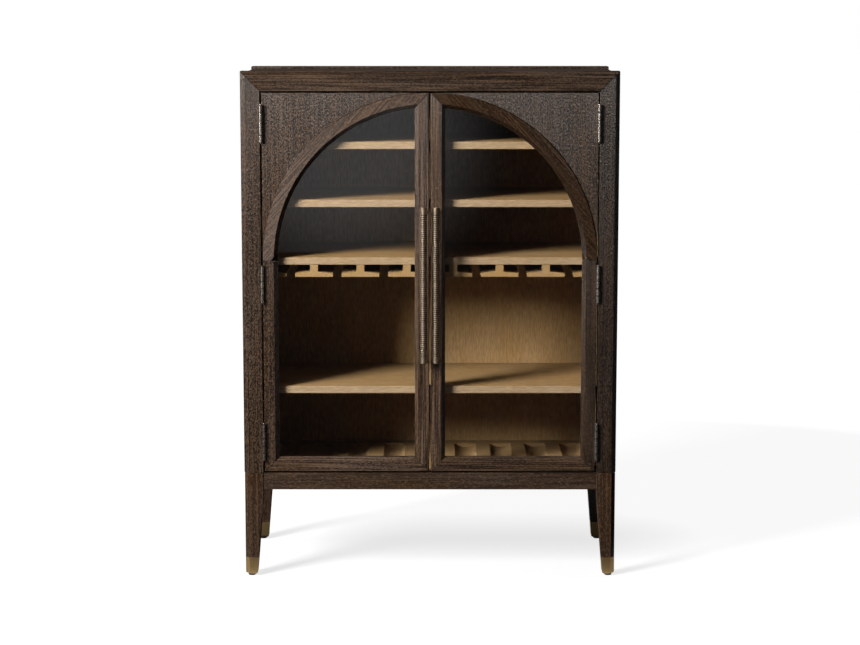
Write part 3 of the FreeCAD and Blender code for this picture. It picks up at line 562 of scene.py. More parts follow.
def joint_line_group():
    """Dark line where two boards meet, along a plane of a given facing and distance from the origin."""
    name = "joint_line"
    if name in bpy.data.node_groups:
        return bpy.data.node_groups[name]
    numbers = ("Distance", "Half Width", "Core")
    inputs = [("Facing", "NodeSocketVector"), *((label, "NodeSocketFloat") for label in numbers)]
    tree, given, result = new_group(name, inputs, [("Line", "NodeSocketFloat")])
    reach = measure(tree, "DOT_PRODUCT", coordinates(tree, "Object"), given.outputs["Facing"])
    past = math_node(tree, "SUBTRACT", reach, given.outputs["Distance"])
    away = math_node(tree, "ABSOLUTE", past)
    feed(tree, result.inputs["Line"], remap(tree, away, given.outputs["Half Width"], given.outputs["Core"]))
    return tree


def patina_group():
    """Clouds and fine scratches that age a metal."""
    name = "patina"
    if name in bpy.data.node_groups:
        return bpy.data.node_groups[name]
    outputs = [(label, "NodeSocketFloat") for label in ("Clouds", "Scratches")]
    tree, given, result = new_group(name, (("Place", "NodeSocketVector"),), outputs)
    place = given.outputs["Place"]
    clouds = noise(tree, vector_node(tree, "MULTIPLY", place, CLOUD_COUNT), 4.0, 0.6)
    lines = noise(tree, vector_node(tree, "MULTIPLY", place, SCRATCH_COUNT), 2.0, 0.5)
    feed(tree, result.inputs["Clouds"], remap(tree, clouds, *CLOUD_RANGE))
    feed(tree, result.inputs["Scratches"], remap(tree, lines, *SCRATCH_RANGE))
    return tree


# Materials

def straight_grain(tree, grain, cut):
    """Place in the log, and direction across the grain, on a board."""
    turn = {"Vector": coordinates(tree, "Object"), "Rotation": grain, "Location": CUT_STEP * cut}
    along = Euler(grain).to_matrix().transposed() @ Vector((0.0, 0.0, 1.0))
    across = vector_node(tree, "CROSS_PRODUCT", coordinates(tree, "Normal"), along)
    turned = add(tree, "ShaderNodeVectorTransform", {"Vector": vector_node(tree, "ADD", across, NEVER_ZERO)},
                 vector_type="VECTOR", convert_from="OBJECT", convert_to="WORLD")
    return add(tree, "ShaderNodeMapping", turn).outputs[0], turned.outputs["Vector"]


def front_mask(tree, and_back=False):
    """One on faces that look to the front of the piece, or to its back too."""
    depth = axis_of(tree, coordinates(tree, "Normal"), "Y")
    if and_back:
        depth = math_node(tree, "MULTIPLY", math_node(tree, "ABSOLUTE", depth), -1.0)
    return remap(tree, depth, *FRONT_RANGE)


def tinted(tree, colour, saturation, value):
    """Colour with its saturation and value multiplied."""
    inputs = {"Color": colour, "Saturation": saturation, "Value": value}
    return add(tree, "ShaderNodeHueSaturation", inputs).outputs["Color"]


def streaked_colour(tree, wood, finish, shade, calm):
    """Streaks between an oak's tones, with pale pores and broad bands."""
    ramp = add(tree, "ShaderNodeValToRGB")
    ramp.color_ramp.elements[0].color = opaque(finish.deep)
    ramp.color_ramp.elements[1].color = opaque(finish.pale)
    ramp.color_ramp.elements.new(0.5).color = opaque(finish.main)
    feed(tree, ramp.inputs["Fac"], remap(tree, wood.outputs["Streaks"], 0.0, 1.0, calm, 1.0 - calm))
    pores = math_node(tree, "MULTIPLY", wood.outputs["Pores"], finish.pores)
    colour = mix_colours(tree, pores, ramp.outputs["Color"], opaque(finish.pale))
    bands, half = wood.outputs["Bands"], finish.banding / 2.0
    saturation = remap(tree, bands, 0.0, 1.0, 1.0 - finish.banding, 1.0 + finish.banding)
    # The shade scales the value: a board's own tone together with painted light and shade
    value = remap(tree, bands, 0.0, 1.0, (1.0 + half) * shade, (1.0 - half) * shade)
    return tinted(tree, colour, saturation, value)


def oak_material(name, node, grain, cut, finish):
    """Oak of one board, from its node, its grain, its place in the log and its finish."""
    oak = bpy.context.scene.cabinet_oak
    quiet = node.endswith(QUIET)
    material, tree, shader = new_material(name + node)
    place, across = straight_grain(tree, grain, cut)
    feed(tree, shader.inputs["Tangent"], across)
    specks = STREAKED_SPECKS if node.endswith(STREAKED) else QUIET_SPECKS if quiet else PLAIN_SPECKS
    values = {"Place": place, "Grain Width": oak.grain_width, "Grain Length": finish.streak,
              "Speck Length": finish.speck, "Speck Share": specks}
    wood = add(tree, "ShaderNodeGroup", values, node_tree=oak_grain_group())
    colour = streaked_colour(tree, wood, finish, TONES_AND_PAINTED_LIGHT.get(node, 1.0), QUIET_CALM if quiet else 0.0)
    # Painted sheen on the front faces of the shelves, paler and less saturated
    if "shelf" in node:
        edge = tinted(tree, colour, 1.0 - oak.painted_sheen_fade, 1.0 + oak.painted_sheen_lift)
        colour = mix_colours(tree, front_mask(tree), colour, edge)
    # Painted shade: the arch's bevels and edges, which face neither front nor back, take the deepest tone
    if node.endswith("door_arch"):
        colour = mix_colours(tree, front_mask(tree, True), opaque(finish.deep), colour)
    relief = wood.outputs["Relief"]
    roughness = remap(tree, relief, -1.0, 1.0, PORE_ROUGHNESS, RIDGE_ROUGHNESS)
    half_width = oak.joint_width / 2.0
    for facing, distance in JOINTS.get(node, ()):
        values = {"Facing": facing, "Distance": distance, "Half Width": half_width,
                  "Core": half_width * JOINT_CORE}
        line = add(tree, "ShaderNodeGroup", values, node_tree=joint_line_group()).outputs["Line"]
        colour = mix_colours(tree, line, colour, opaque(JOINT_TONE))
        roughness = math_node(tree, "MAXIMUM", roughness, line)
    if finish.dimming:
        dimmed = math_node(tree, "MULTIPLY", ray(tree, "Is Diffuse Ray"), finish.dimming)
        colour = mix_colours(tree, dimmed, colour, BLACK)
    feed(tree, shader.inputs["Base Color"], colour)
    feed(tree, shader.inputs["Roughness"], roughness)
    values = {"Strength": RELIEF_STRENGTH, "Distance": RELIEF_DEPTH, "Height": relief}
    feed(tree, shader.inputs["Normal"], add(tree, "ShaderNodeBump", values).outputs["Normal"])
    lies_level = grain in (CROSSWISE, FRONT_TO_BACK)
    shader.inputs["Anisotropic"].default_value = LEVEL_BRUSHED if lies_level else BRUSHED
    shader.inputs["Specular IOR Level"].default_value = finish.gloss[0]
    shader.inputs["IOR"].default_value = finish.gloss[1]
    return material


def smoked_oak(node, grain, cut):
    """Dark outer oak of one board."""
    oak = bpy.context.scene.cabinet_oak
    gloss = SATIN if grain == UPRIGHT and not node.endswith(QUIET) else DULL
    finish = Finish(oak.smoked_deep, oak.smoked_main, oak.smoked_pale, oak.smoked_pores,
                    oak.smoked_banding, oak.smoked_length, oak.smoked_speck, gloss, 0.0)
    return oak_material("smoked_oak_", node, grain, cut, finish)


def natural_oak(node, grain, cut):
    """Light inner oak of one board, darker in bounced light."""
    oak = bpy.context.scene.cabinet_oak
    finish = Finish(oak.natural_deep, oak.natural_main, oak.natural_pale, oak.natural_pores,
                    oak.natural_banding, oak.natural_length, oak.natural_speck, MATT, oak.natural_dimming)
    return oak_material("natural_oak_", node, grain, cut, finish)


def aged_metal(name, bright, patina, roughness, line=None):
    """Satin metal clouded by age, with dark lines where a mask built by a function says so."""
    name = "aged_" + name
    if name in bpy.data.materials:
        return bpy.data.materials[name]
    material, tree, shader = new_material(name)
    age = add(tree, "ShaderNodeGroup", {"Place": coordinates(tree, "Object")}, node_tree=patina_group())
    colour = mix_colours(tree, age.outputs["Clouds"], opaque(bright), opaque(patina))
    if line:
        colour = mix_colours(tree, line(tree), colour, opaque(METAL_JOINT_AND_GROOVE_SHADE_TONE))
    feed(tree, shader.inputs["Base Color"], colour)
    low, high = roughness - SCRATCH_SPREAD, roughness + SCRATCH_SPREAD
    feed(tree, shader.inputs["Roughness"], remap(tree, age.outputs["Scratches"], 0.0, 1.0, low, high))
    shader.inputs["Metallic"].default_value = 1.0
    return material


def antique_brass():
    """Brass of the ferrules and shelf pins."""
    metal = bpy.context.scene.cabinet_metal
    return aged_metal("antique_brass", metal.brass, metal.brass_patina, roughness=0.55)


def painted_groove_shade(tree):
    """Painted shade in the grooves of a pull: one in them, scaled by its strength."""
    groove = add(tree, "ShaderNodeAttribute", attribute_name="groove")
    return math_node(tree, "MULTIPLY", groove.outputs["Fac"], GROOVE_PAINTED_SHADE)


def pull_brass():
    """Greyer brass of the pulls, with painted shade in their grooves."""
    metal = bpy.context.scene.cabinet_metal
    return aged_metal("pull_brass", metal.pull_brass, metal.pull_patina, roughness=0.50, line=painted_groove_shade)


def knuckle_mask(tree):
    """One at the joints between the knuckles of the hinges."""
    height = axis_of(tree, coordinates(tree, "Object"), "Z")
    low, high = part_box("hinge_pins")
    pitch = (high.z - low.z - HINGE_LENGTH) / 2.0
    first = low.z + HINGE_LENGTH / 2.0
    risen = math_node(tree, "SUBTRACT", height, first - pitch / 2.0)
    centred = math_node(tree, "FLOORED_MODULO", risen, pitch)
    from_middle = math_node(tree, "ABSOLUTE", math_node(tree, "SUBTRACT", centred, pitch / 2.0))
    in_knuckle = math_node(tree, "FLOORED_MODULO", from_middle, KNUCKLE)
    to_joint = math_node(tree, "ABSOLUTE", math_node(tree, "SUBTRACT", in_knuckle, KNUCKLE / 2.0))
    return remap(tree, to_joint, *KNUCKLE_LINE, 1.0, 0.0)


def hinge_bronze():
    """Bronze of the hinges, dark between their knuckles."""
    metal = bpy.context.scene.cabinet_metal
    return aged_metal("hinge_bronze", metal.bronze, metal.bronze_patina, roughness=0.26, line=knuckle_mask)


def screw_steel():
    """Steel of the screws and strike plates."""
    metal = bpy.context.scene.cabinet_metal
    return aged_metal("screw_steel", metal.steel, metal.steel_stain, roughness=0.34)


def clear_glass():
    """Clear pane that lets the lamps' light through."""
    material, tree, shader = new_material("door_pane")
    shader.inputs["Base Color"].default_value = PANE_TINT
    shader.inputs["Roughness"].default_value = 0.0
    shader.inputs["IOR"].default_value = PANE_IOR
    shader.inputs["Transmission Weight"].default_value = 1.0
    shader.inputs["Specular Tint"].default_value = PANE_GLOSS_TINT
    clear = add(tree, "ShaderNodeBsdfTransparent", {"Color": PANE_SHADOW_TINT})
    either = add(tree, "ShaderNodeMixShader", {
        0: ray(tree, "Is Shadow Ray"), 1: shader.outputs["BSDF"], 2: clear.outputs["BSDF"]})
    output = next(node for node in tree.nodes if node.type == "OUTPUT_MATERIAL")
    tree.links.new(either.outputs[0], output.inputs["Surface"])
    return material


def black_plastic():
    """Matt black moulded plastic."""
    material, tree, shader = new_material("moulded_plastic")
    grit = noise(tree, vector_node(tree, "MULTIPLY", coordinates(tree, "Object"), GRIT_COUNT), 2.0, 0.6)
    colour = mix_colours(tree, grit, opaque(PLASTIC_DARK), opaque(PLASTIC_PALE))
    feed(tree, shader.inputs["Base Color"], colour)
    feed(tree, shader.inputs["Roughness"], remap(tree, grit, 0.0, 1.0, *PLASTIC_ROUGHNESS))
    return material


def dress(node, material):
    """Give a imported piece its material."""
    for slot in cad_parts[node].material_slots:
        slot.material = material


def dress_boards(finish, boards, first_cut):
    """Give each board of a dict of grains by name its own oak."""
    for cut, (node, grain) in enumerate(boards.items(), first_cut):
        dress(node, finish(node, grain, cut))


# Pieces made by geometry nodes

def new_shape_tree(name, inputs):
    """Geometry node tree with named inputs, its input node and its output node."""
    tree = bpy.data.node_groups.new(name, "GeometryNodeTree")
    tree.interface.new_socket("Geometry", in_out="INPUT", socket_type="NodeSocketGeometry")
    for label, kind in inputs:
        tree.interface.new_socket(label, in_out="INPUT", socket_type=kind)
    tree.interface.new_socket("Geometry", in_out="OUTPUT", socket_type="NodeSocketGeometry")
    return tree, tree.nodes.new("NodeGroupInput"), tree.nodes.new("NodeGroupOutput")


def end_shape_tree(tree, given, result, geometry):
    """Realize what is instanced and set its material."""
    real = add(tree, "GeometryNodeRealizeInstances", {"Geometry": geometry}).outputs["Geometry"]
    paint = add(tree, "GeometryNodeSetMaterial", {"Geometry": real, "Material": given.outputs["Material"]})
    feed(tree, result.inputs["Geometry"], paint.outputs["Geometry"])


def grown_piece(name, tree, values, spots, body, replaced):
    """Run a tree on points, each a place, a turn and a size, and make a plain piece that rides on a body."""
    seed = bpy.data.meshes.new(name + "_points")
    seed.from_pydata([tuple(spot[0]) for spot in spots], [], [])
    turns = seed.attributes.new("turn", "FLOAT_VECTOR", "POINT")
    sizes = seed.attributes.new("bigger", "BOOLEAN", "POINT")
    for i, (place, turn, bigger) in enumerate(spots):
        turns.data[i].vector = turn
        sizes.data[i].value = bigger
    piece = bpy.data.objects.new(name, seed)
    bpy.context.scene.collection.objects.link(piece)
    modifier = piece.modifiers.new("Shape", "NODES")
    modifier.node_group = tree
    for item in tree.interface.items_tree:
        if item.in_out == "INPUT" and item.name in values:
            modifier[item.identifier] = values[item.name]
    graph = bpy.context.evaluated_depsgraph_get()
    mesh = bpy.data.meshes.new_from_object(piece.evaluated_get(graph), depsgraph=graph)
    piece.modifiers.clear()
    piece.data = mesh
    mesh.name = name
    if not mesh.polygons:
        raise RuntimeError(name + " came out empty")
    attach(piece, body)
    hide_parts(replaced)
    return piece


def ribbed_bar_tree():
    """Round bar swept up a line, its radius cut in by grooves between the ribs."""
    lengths = ("Radius", "End Length", "Groove Depth", "End Chamfer")
    inputs = [("Foot", "NodeSocketVector"), ("Head", "NodeSocketVector"), ("Material", "NodeSocketMaterial")]
    inputs += [(label, "NodeSocketFloat") for label in lengths]
    inputs += [(label, "NodeSocketInt") for label in ("Ribs", "Steps", "Sides")]
    tree, given, result = new_shape_tree("ribbed_bar", inputs)
    foot, head = given.outputs["Foot"], given.outputs["Head"]
    line = add(tree, "GeometryNodeCurvePrimitiveLine", {"Start": foot, "End": head}).outputs["Curve"]
    steps = add(tree, "GeometryNodeResampleCurve", {"Curve": line, "Count": given.outputs["Steps"]})
    along = add(tree, "GeometryNodeSplineParameter").outputs["Length"]
    whole = measure(tree, "DISTANCE", foot, head)
    end_length, chamfer = given.outputs["End Length"], given.outputs["End Chamfer"]
    ribbed = math_node(tree, "SUBTRACT", whole, math_node(tree, "MULTIPLY", end_length, 2.0))
    pitch = math_node(tree, "DIVIDE", ribbed, given.outputs["Ribs"])
    turns = math_node(tree, "DIVIDE", math_node(tree, "SUBTRACT", along, end_length), pitch)
    cut = remap(tree, math_node(tree, "PINGPONG", turns, 0.5), *GROOVE_SPAN, 1.0, 0.0)
    to_end = math_node(tree, "MINIMUM", along, math_node(tree, "SUBTRACT", whole, along))
    first_groove = math_node(tree, "SUBTRACT", end_length, math_node(tree, "MULTIPLY", pitch, 0.5))
    grooved = math_node(tree, "MULTIPLY", cut, math_node(tree, "GREATER_THAN", to_end, first_groove))
    groove = math_node(tree, "MULTIPLY", grooved, given.outputs["Groove Depth"])
    taken = math_node(tree, "ADD", groove, remap(tree, to_end, 0.0, chamfer, chamfer, 0.0))
    radius = math_node(tree, "SUBTRACT", given.outputs["Radius"], taken)
    marks = {"Geometry": steps.outputs["Curve"], "Name": "groove", "Value": grooved}
    marked = add(tree, "GeometryNodeStoreNamedAttribute", marks, data_type="FLOAT", domain="POINT")
    sides = {"Resolution": given.outputs["Sides"], "Radius": 1.0}
    circle = add(tree, "GeometryNodeCurvePrimitiveCircle", sides)
    sweep = add(tree, "GeometryNodeCurveToMesh", {
        "Curve": marked.outputs["Geometry"], "Profile Curve": circle.outputs["Curve"], "Scale": radius,
        "Fill Caps": True})
    end_shape_tree(tree, given, result, sweep.outputs["Mesh"])
    return tree


def screw_tree():
    """A screw set at every point, turned as the point says, and a bigger one where it says so."""
    inputs = (("Hinge Screw", "NodeSocketObject"), ("Pull Screw", "NodeSocketObject"),
              ("Material", "NodeSocketMaterial"))
    tree, given, result = new_shape_tree("set_screws", inputs)
    points = add(tree, "GeometryNodeMeshToPoints", {"Mesh": given.outputs["Geometry"]}).outputs["Points"]
    turn = add(tree, "GeometryNodeInputNamedAttribute", {"Name": "turn"}, data_type="FLOAT_VECTOR")
    turned = add(tree, "FunctionNodeEulerToRotation", {"Euler": turn.outputs["Attribute"]})
    bigger = add(tree, "GeometryNodeInputNamedAttribute", {"Name": "bigger"}, data_type="BOOLEAN")
    bigger = bigger.outputs["Attribute"]
    smaller = add(tree, "FunctionNodeBooleanMath", {0: bigger}, operation="NOT").outputs[0]
    both = add(tree, "GeometryNodeJoinGeometry")
    for label, chosen in (("Hinge Screw", smaller), ("Pull Screw", bigger)):
        model = add(tree, "GeometryNodeObjectInfo", {"Object": given.outputs[label]}).outputs["Geometry"]
        placed = add(tree, "GeometryNodeInstanceOnPoints", {
            "Points": points, "Selection": chosen, "Instance": model, "Rotation": turned.outputs[0]})
        tree.links.new(placed.outputs["Instances"], both.inputs["Geometry"])
    end_shape_tree(tree, given, result, both.outputs["Geometry"])
    return tree


def ring(shape, radius, height):
    """Ring of points round Z."""
    turns = [2.0 * math.pi * i / SCREW_SIDES for i in range(SCREW_SIDES)]
    return [shape.verts.new((radius * math.cos(turn), radius * math.sin(turn), height)) for turn in turns]


def wall(shape, lower, upper):
    """Band of faces between two rings of as many points."""
    for i in range(len(lower)):
        j = (i + 1) % len(lower)
        shape.faces.new((lower[i], lower[j], upper[j], upper[i]))


def cross_outline(arm, half_width):
    """Outline of a crossed recess."""
    corner = [Vector((arm, -half_width)), Vector((arm, half_width)), Vector((half_width, half_width))]
    quarters = [Matrix.Rotation(quarter * math.pi / 2, 2) for quarter in range(4)]
    return [quarter @ point for quarter in quarters for point in corner]


def screw_model(name, profile, recess_depth):
    """Screw along Z with a crossed recess in its head; the profile runs from the head's rim to the tip."""
    shape = bmesh.new()
    levels = [ring(shape, radius, height) for radius, height in profile]
    rim, top = profile[0]
    outline = cross_outline(rim * RECESS_ARM, rim * RECESS_HALF_WIDTH)
    mouth = [shape.verts.new((x, y, top)) for x, y in outline]
    floor = [shape.verts.new((x, y, top - recess_depth)) for x, y in outline]
    wall(shape, levels[0], mouth)
    wall(shape, mouth, floor)
    shape.faces.new(floor)
    for upper, lower in zip(levels[:-1], levels[1:]):
        wall(shape, lower, upper)
    shape.faces.new(list(reversed(levels[-1])))
    mesh = bpy.data.meshes.new(name)
    shape.to_mesh(mesh)
    shape.free()
    model = bpy.data.objects.new(name, mesh)
    bpy.context.scene.collection.objects.link(model)
    return model


def leaf_spots(x, turn):
    """Places and turns of the screws in the three hinge leaves at one edge."""
    sizes = bpy.context.scene.cabinet_screws
    low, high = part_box("case_hinge_screws")
    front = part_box("front_top_rail")[0].y
    inset = sizes.spread + sizes.head_radius
    spots = []
    for centre in (low.z + inset, (low.z + high.z) / 2.0, high.z - inset):
        for step, depth in ((-1, sizes.near_edge), (0, sizes.far_edge), (1, sizes.near_edge)):
            spots.append((Vector((x, front + depth, centre + step * sizes.spread)), turn, False))
    return spots


def pull_spots(side):
    """Places and turns of the two screws behind a pull."""
    sizes = bpy.context.scene.cabinet_screws
    low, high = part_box(side + "_door_pull")
    x = (low.x + high.x) / 2.0
    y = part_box(side + "_door_meeting_stile")[1].y
    heights = (low.z + sizes.pull_inset, high.z - sizes.pull_inset)
    return [(Vector((x, y, z)), TIP_FORWARD, True) for z in heights]


# Operators

class CABINET_OT_dress_case(bpy.types.Operator):
    """Smoked oak on the frames, panels, base and legs"""
    bl_idname = "cabinet.dress_case"
    bl_label = "Case oak"

    def execute(self, context):
        boards = {corner + "_post": UPRIGHT for corner in CORNERS}
        boards.update({corner + "_leg": UPRIGHT for corner in CORNERS})
        boards.update({side + "_side_panel": UPRIGHT for side in SIDES})
        boards["base_side_rails"] = FRONT_TO_BACK
        crosswise = ("front_top_rail", "rear_top_rail", "base_front_rail", "base_rear_rail",
                     "top_panel", "bottom_panel")
        boards.update({node: CROSSWISE for node in crosswise})
        dress_boards(smoked_oak, boards, CASE_CUT)
        return {"FINISHED"}


class CABINET_OT_dress_interior(bpy.types.Operator):
    """Natural oak on the linings, shelves, dividers, stemware rails and bottle cradle"""
    bl_idname = "cabinet.dress_interior"
    bl_label = "Interior oak"

    def execute(self, context):
        boards = {side + "_side_lining": UPRIGHT for side in SIDES}
        boards.update({"back_panel": UPRIGHT, "case_dowels": UPRIGHT, "stemware_rails": FRONT_TO_BACK,
                       "shelf_dividers": UPRIGHT})
        crosswise = ("ceiling_panel", "top_shelf", "second_shelf", "stemware_shelf", "lower_shelf",
                     "bottle_cradle")
        boards.update({node: CROSSWISE for node in crosswise})
        dress_boards(natural_oak, boards, INTERIOR_CUT)
        return {"FINISHED"}


class CABINET_OT_dress_doors(bpy.types.Operator):
    """Smoked oak on the door frames, arches, spandrels and glass beads"""
    bl_idname = "cabinet.dress_doors"
    bl_label = "Door oak"

    def execute(self, context):
        boards = {}
        for side in SIDES:
            pieces = {"hinge_stile": UPRIGHT, "meeting_stile": UPRIGHT, "bottom_rail": CROSSWISE,
                      "arch": SLANTED[side], "spandrel": UPRIGHT, "glass_beads": UPRIGHT}
            boards.update({side + "_door_" + piece: grain for piece, grain in pieces.items()})
        dress_boards(smoked_oak, boards, DOOR_CUT)
        return {"FINISHED"}


class CABINET_OT_glaze_doors(bpy.types.Operator):
    """Clear glass in the doors"""
    bl_idname = "cabinet.glaze_doors"
    bl_label = "Door glass"

    def execute(self, context):
        pane = clear_glass()
        for side in SIDES:
            dress(side + "_door_glass", pane)
            # The lamps reach through the pane already, so bounced light leaves it out
            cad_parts[side + "_door_glass"].visible_diffuse = False
        return {"FINISHED"}


class CABINET_OT_make_pulls(bpy.types.Operator):
    """Ribbed brass pulls on their posts"""
    bl_idname = "cabinet.make_pulls"
    bl_label = "Pulls"

    def execute(self, context):
        sizes = context.scene.cabinet_pulls
        tree = ribbed_bar_tree()
        brass = pull_brass()
        for side in SIDES:
            node = side + "_door_pull"
            low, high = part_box(node)
            middle = (low + high) / 2.0
            height = high.z - low.z
            step = (height - 2.0 * sizes.end_length) / sizes.rib_count / RIB_STEPS
            values = {"Foot": (middle.x, middle.y, low.z), "Head": (middle.x, middle.y, high.z),
                      "Radius": (high.x - low.x) / 2.0, "End Length": sizes.end_length,
                      "Ribs": sizes.rib_count, "Groove Depth": sizes.groove_depth,
                      "End Chamfer": sizes.end_chamfer, "Steps": round(height / step) + 1,
                      "Sides": sizes.sides, "Material": brass}
            grown_piece(side + "_ribbed_pull", tree, values, [(middle, UPRIGHT, False)], side + "_door",
                        node)
            dress(side + "_door_pull_posts", brass)
        return {"FINISHED"}


class CABINET_OT_dress_hinges(bpy.types.Operator):
    """Bronze on the hinge leaves and pins"""
    bl_idname = "cabinet.dress_hinges"
    bl_label = "Hinges"

    def execute(self, context):
        bronze = hinge_bronze()
        for node in ("case_hinge_leaves", "hinge_pins", "left_door_hinge_leaves", "right_door_hinge_leaves"):
            dress(node, bronze)
        return {"FINISHED"}


class CABINET_OT_set_screws(bpy.types.Operator):
    """Crossed-recess screws in the hinge leaves and behind the pulls"""
    bl_idname = "cabinet.set_screws"
    bl_label = "Screws"

    def execute(self, context):
        sizes = context.scene.cabinet_screws
        neck = sizes.shank_radius
        hinge_profile = [(sizes.head_radius, 0.0), (neck, -sizes.head_height),
                         (neck, -sizes.length * TIP_START), (neck * TIP_WIDTH, -sizes.length)]
        wide, stem, head = sizes.pull_head_radius, sizes.pull_shank_radius, sizes.pull_head_height
        pull_profile = [(wide * DOME_WIDTH, head), (wide, head * DOME_START), (wide, 0.0), (stem, 0.0),
                        (stem, stem * PULL_END_SLOPE - sizes.pull_length),
                        (stem * PULL_END_WIDTH, -sizes.pull_length)]
        models = {"Hinge Screw": screw_model("hinge_screw_model", hinge_profile, sizes.recess_depth),
                  "Pull Screw": screw_model("pull_screw_model", pull_profile, sizes.pull_recess_depth)}
        tree = screw_tree()
        values = {**models, "Material": screw_steel()}
        case_low, case_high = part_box("case_hinge_screws")
        spots = leaf_spots(case_low.x + sizes.length, TIP_LEFT)
        spots += leaf_spots(case_high.x - sizes.length, TIP_RIGHT)
        grown_piece("case_screws", tree, values, spots, "case", "case_hinge_screws")
        for side in SIDES:
            node = side + "_door_screws"
            low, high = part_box(node)
            hinge_x, turn = (low.x, TIP_RIGHT) if side == "left" else (high.x, TIP_LEFT)
            spots = leaf_spots(hinge_x, turn) + pull_spots(side)
            grown_piece(side + "_screws", tree, values, spots, side + "_door", node)
        for model in models.values():
            bpy.data.objects.remove(model)
        return {"FINISHED"}


class CABINET_OT_dress_feet(bpy.types.Operator):
    """Brass ferrules and black glides on the legs, and brass shelf pins"""
    bl_idname = "cabinet.dress_feet"
    bl_label = "Feet and pins"

    def execute(self, context):
        brass = antique_brass()
        dress("leg_ferrules", brass)
        dress("shelf_pins", brass)
        dress("foot_glides", black_plastic())
        return {"FINISHED"}


class CABINET_OT_dress_catches(bpy.types.Operator):
    """Black catches and their steel strike plates"""
    bl_idname = "cabinet.dress_catches"
    bl_label = "Catches"

    def execute(self, context):
        dress("door_catches", black_plastic())
        steel = screw_steel()
        for side in SIDES:
            dress(side + "_door_strike", steel)
        return {"FINISHED"}


# Studio

def seen_ray(tree):
    """One for rays that show the background: from the camera, off a gloss or through glass, not to light."""
    shows = ray(tree, "Is Camera Ray")
    for kind in ("Is Glossy Ray", "Is Transmission Ray"):
        shows = math_node(tree, "MAXIMUM", shows, ray(tree, kind))
    unbounced = math_node(tree, "LESS_THAN", ray(tree, "Diffuse Depth"), 0.5)
    return math_node(tree, "MULTIPLY", shows, unbounced)


def white_world(ambient, surround):
    """White where it is seen, dimmer in gloss, and a low even light elsewhere."""
    world = bpy.data.worlds.new("studio_white")
    world.use_nodes = True
    tree = world.node_tree
    back = next(node for node in tree.nodes if node.type == "BACKGROUND")
    back.inputs["Color"].default_value = WHITE
    dimmer = remap(tree, ray(tree, "Is Glossy Ray"), 0.0, 1.0, 1.0, surround)
    brightness = remap(tree, seen_ray(tree), 0.0, 1.0, ambient, 1.0)
    feed(tree, back.inputs["Strength"], math_node(tree, "MULTIPLY", brightness, dimmer))
    return world


def rectangle(low, high):
    """Corners of a level or upright rectangle between two opposite corners."""
    if low[2] == high[2]:
        return [low, (high[0], low[1], low[2]), high, (low[0], high[1], low[2])]
    return [low, (high[0], high[1], low[2]), high, (low[0], low[1], high[2])]


def bare_material(name):
    """Material with nothing but its output."""
    material = bpy.data.materials.new(name)
    material.use_nodes = True
    material.node_tree.nodes.clear()
    return material, material.node_tree, material.node_tree.nodes.new("ShaderNodeOutputMaterial")


def plane(name, corners):
    """Flat stage piece through four corners."""
    mesh = bpy.data.meshes.new(name)
    mesh.from_pydata(corners, [], [tuple(range(len(corners)))])
    piece = bpy.data.objects.new(name, mesh)
    bpy.context.scene.collection.objects.link(piece)
    piece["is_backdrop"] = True
    return piece


def floor_material(glow):
    """White floor that keeps the cabinet's shadow, glows less round its footprint as a painted shadow, and
    runs out to pure white.
    """
    material, tree, output = bare_material("studio_floor")
    tone_seen = mix_colours(tree, ray(tree, "Is Diffuse Ray"), FLOOR_TONE, FLOOR_BOUNCE)
    matt = add(tree, "ShaderNodeBsdfDiffuse", {"Color": tone_seen})
    aside = vector_node(tree, "ABSOLUTE", coordinates(tree, "Object"))
    outside = vector_node(tree, "SUBTRACT", aside, FOOTPRINT)
    away = measure(tree, "LENGTH", vector_node(tree, "MAXIMUM", outside, ZERO))
    # Painted shadow: the glow is lowest round the footprint and rises outwards, to pure white far off
    near = remap(tree, away, 0.0, SHADOW_REACH, glow, SHADOW_END_GLOW)
    strength = math_node(tree, "MAXIMUM", near, remap(tree, away, SHADOW_REACH, WHITE_REACH))
    light = add(tree, "ShaderNodeEmission", {
        "Strength": math_node(tree, "MULTIPLY", strength, seen_ray(tree))})
    both = add(tree, "ShaderNodeAddShader", {0: matt.outputs["BSDF"], 1: light.outputs["Emission"]})
    feed(tree, output.inputs["Surface"], both.outputs[0])
    return material


def soft_patch(tree, middle, reach, strength, shade):
    """Level of a card: a strength in the middle of a patch that fades out to a shade."""
    turn = {"Vector": coordinates(tree, "Object"), "Location": middle, "Scale": reach}
    away = measure(tree, "LENGTH", add(tree, "ShaderNodeMapping", turn, vector_type="TEXTURE").outputs[0])
    ranges = {"Value": away, "From Min": PATCH_CORE, "From Max": 1.0, "To Min": strength, "To Max": shade}
    return add(tree, "ShaderNodeMapRange", ranges, interpolation_type="SMOOTHSTEP").outputs["Result"]


def card(name, low, high, shade, in_glass=False, patch=None):
    """Dark card that gloss sees, and glass from within, with a soft patch of a middle, reach and strength."""
    piece = plane(name, rectangle(low, high))
    material, tree, output = bare_material(name)
    light = add(tree, "ShaderNodeEmission", {"Strength": soft_patch(tree, *patch, shade) if patch else shade})
    feed(tree, output.inputs["Surface"], light.outputs["Emission"])
    piece.data.materials.append(material)
    piece.visible_camera = False
    piece.visible_diffuse = False
    piece.visible_transmission = in_glass
    piece.visible_shadow = False
    return piece


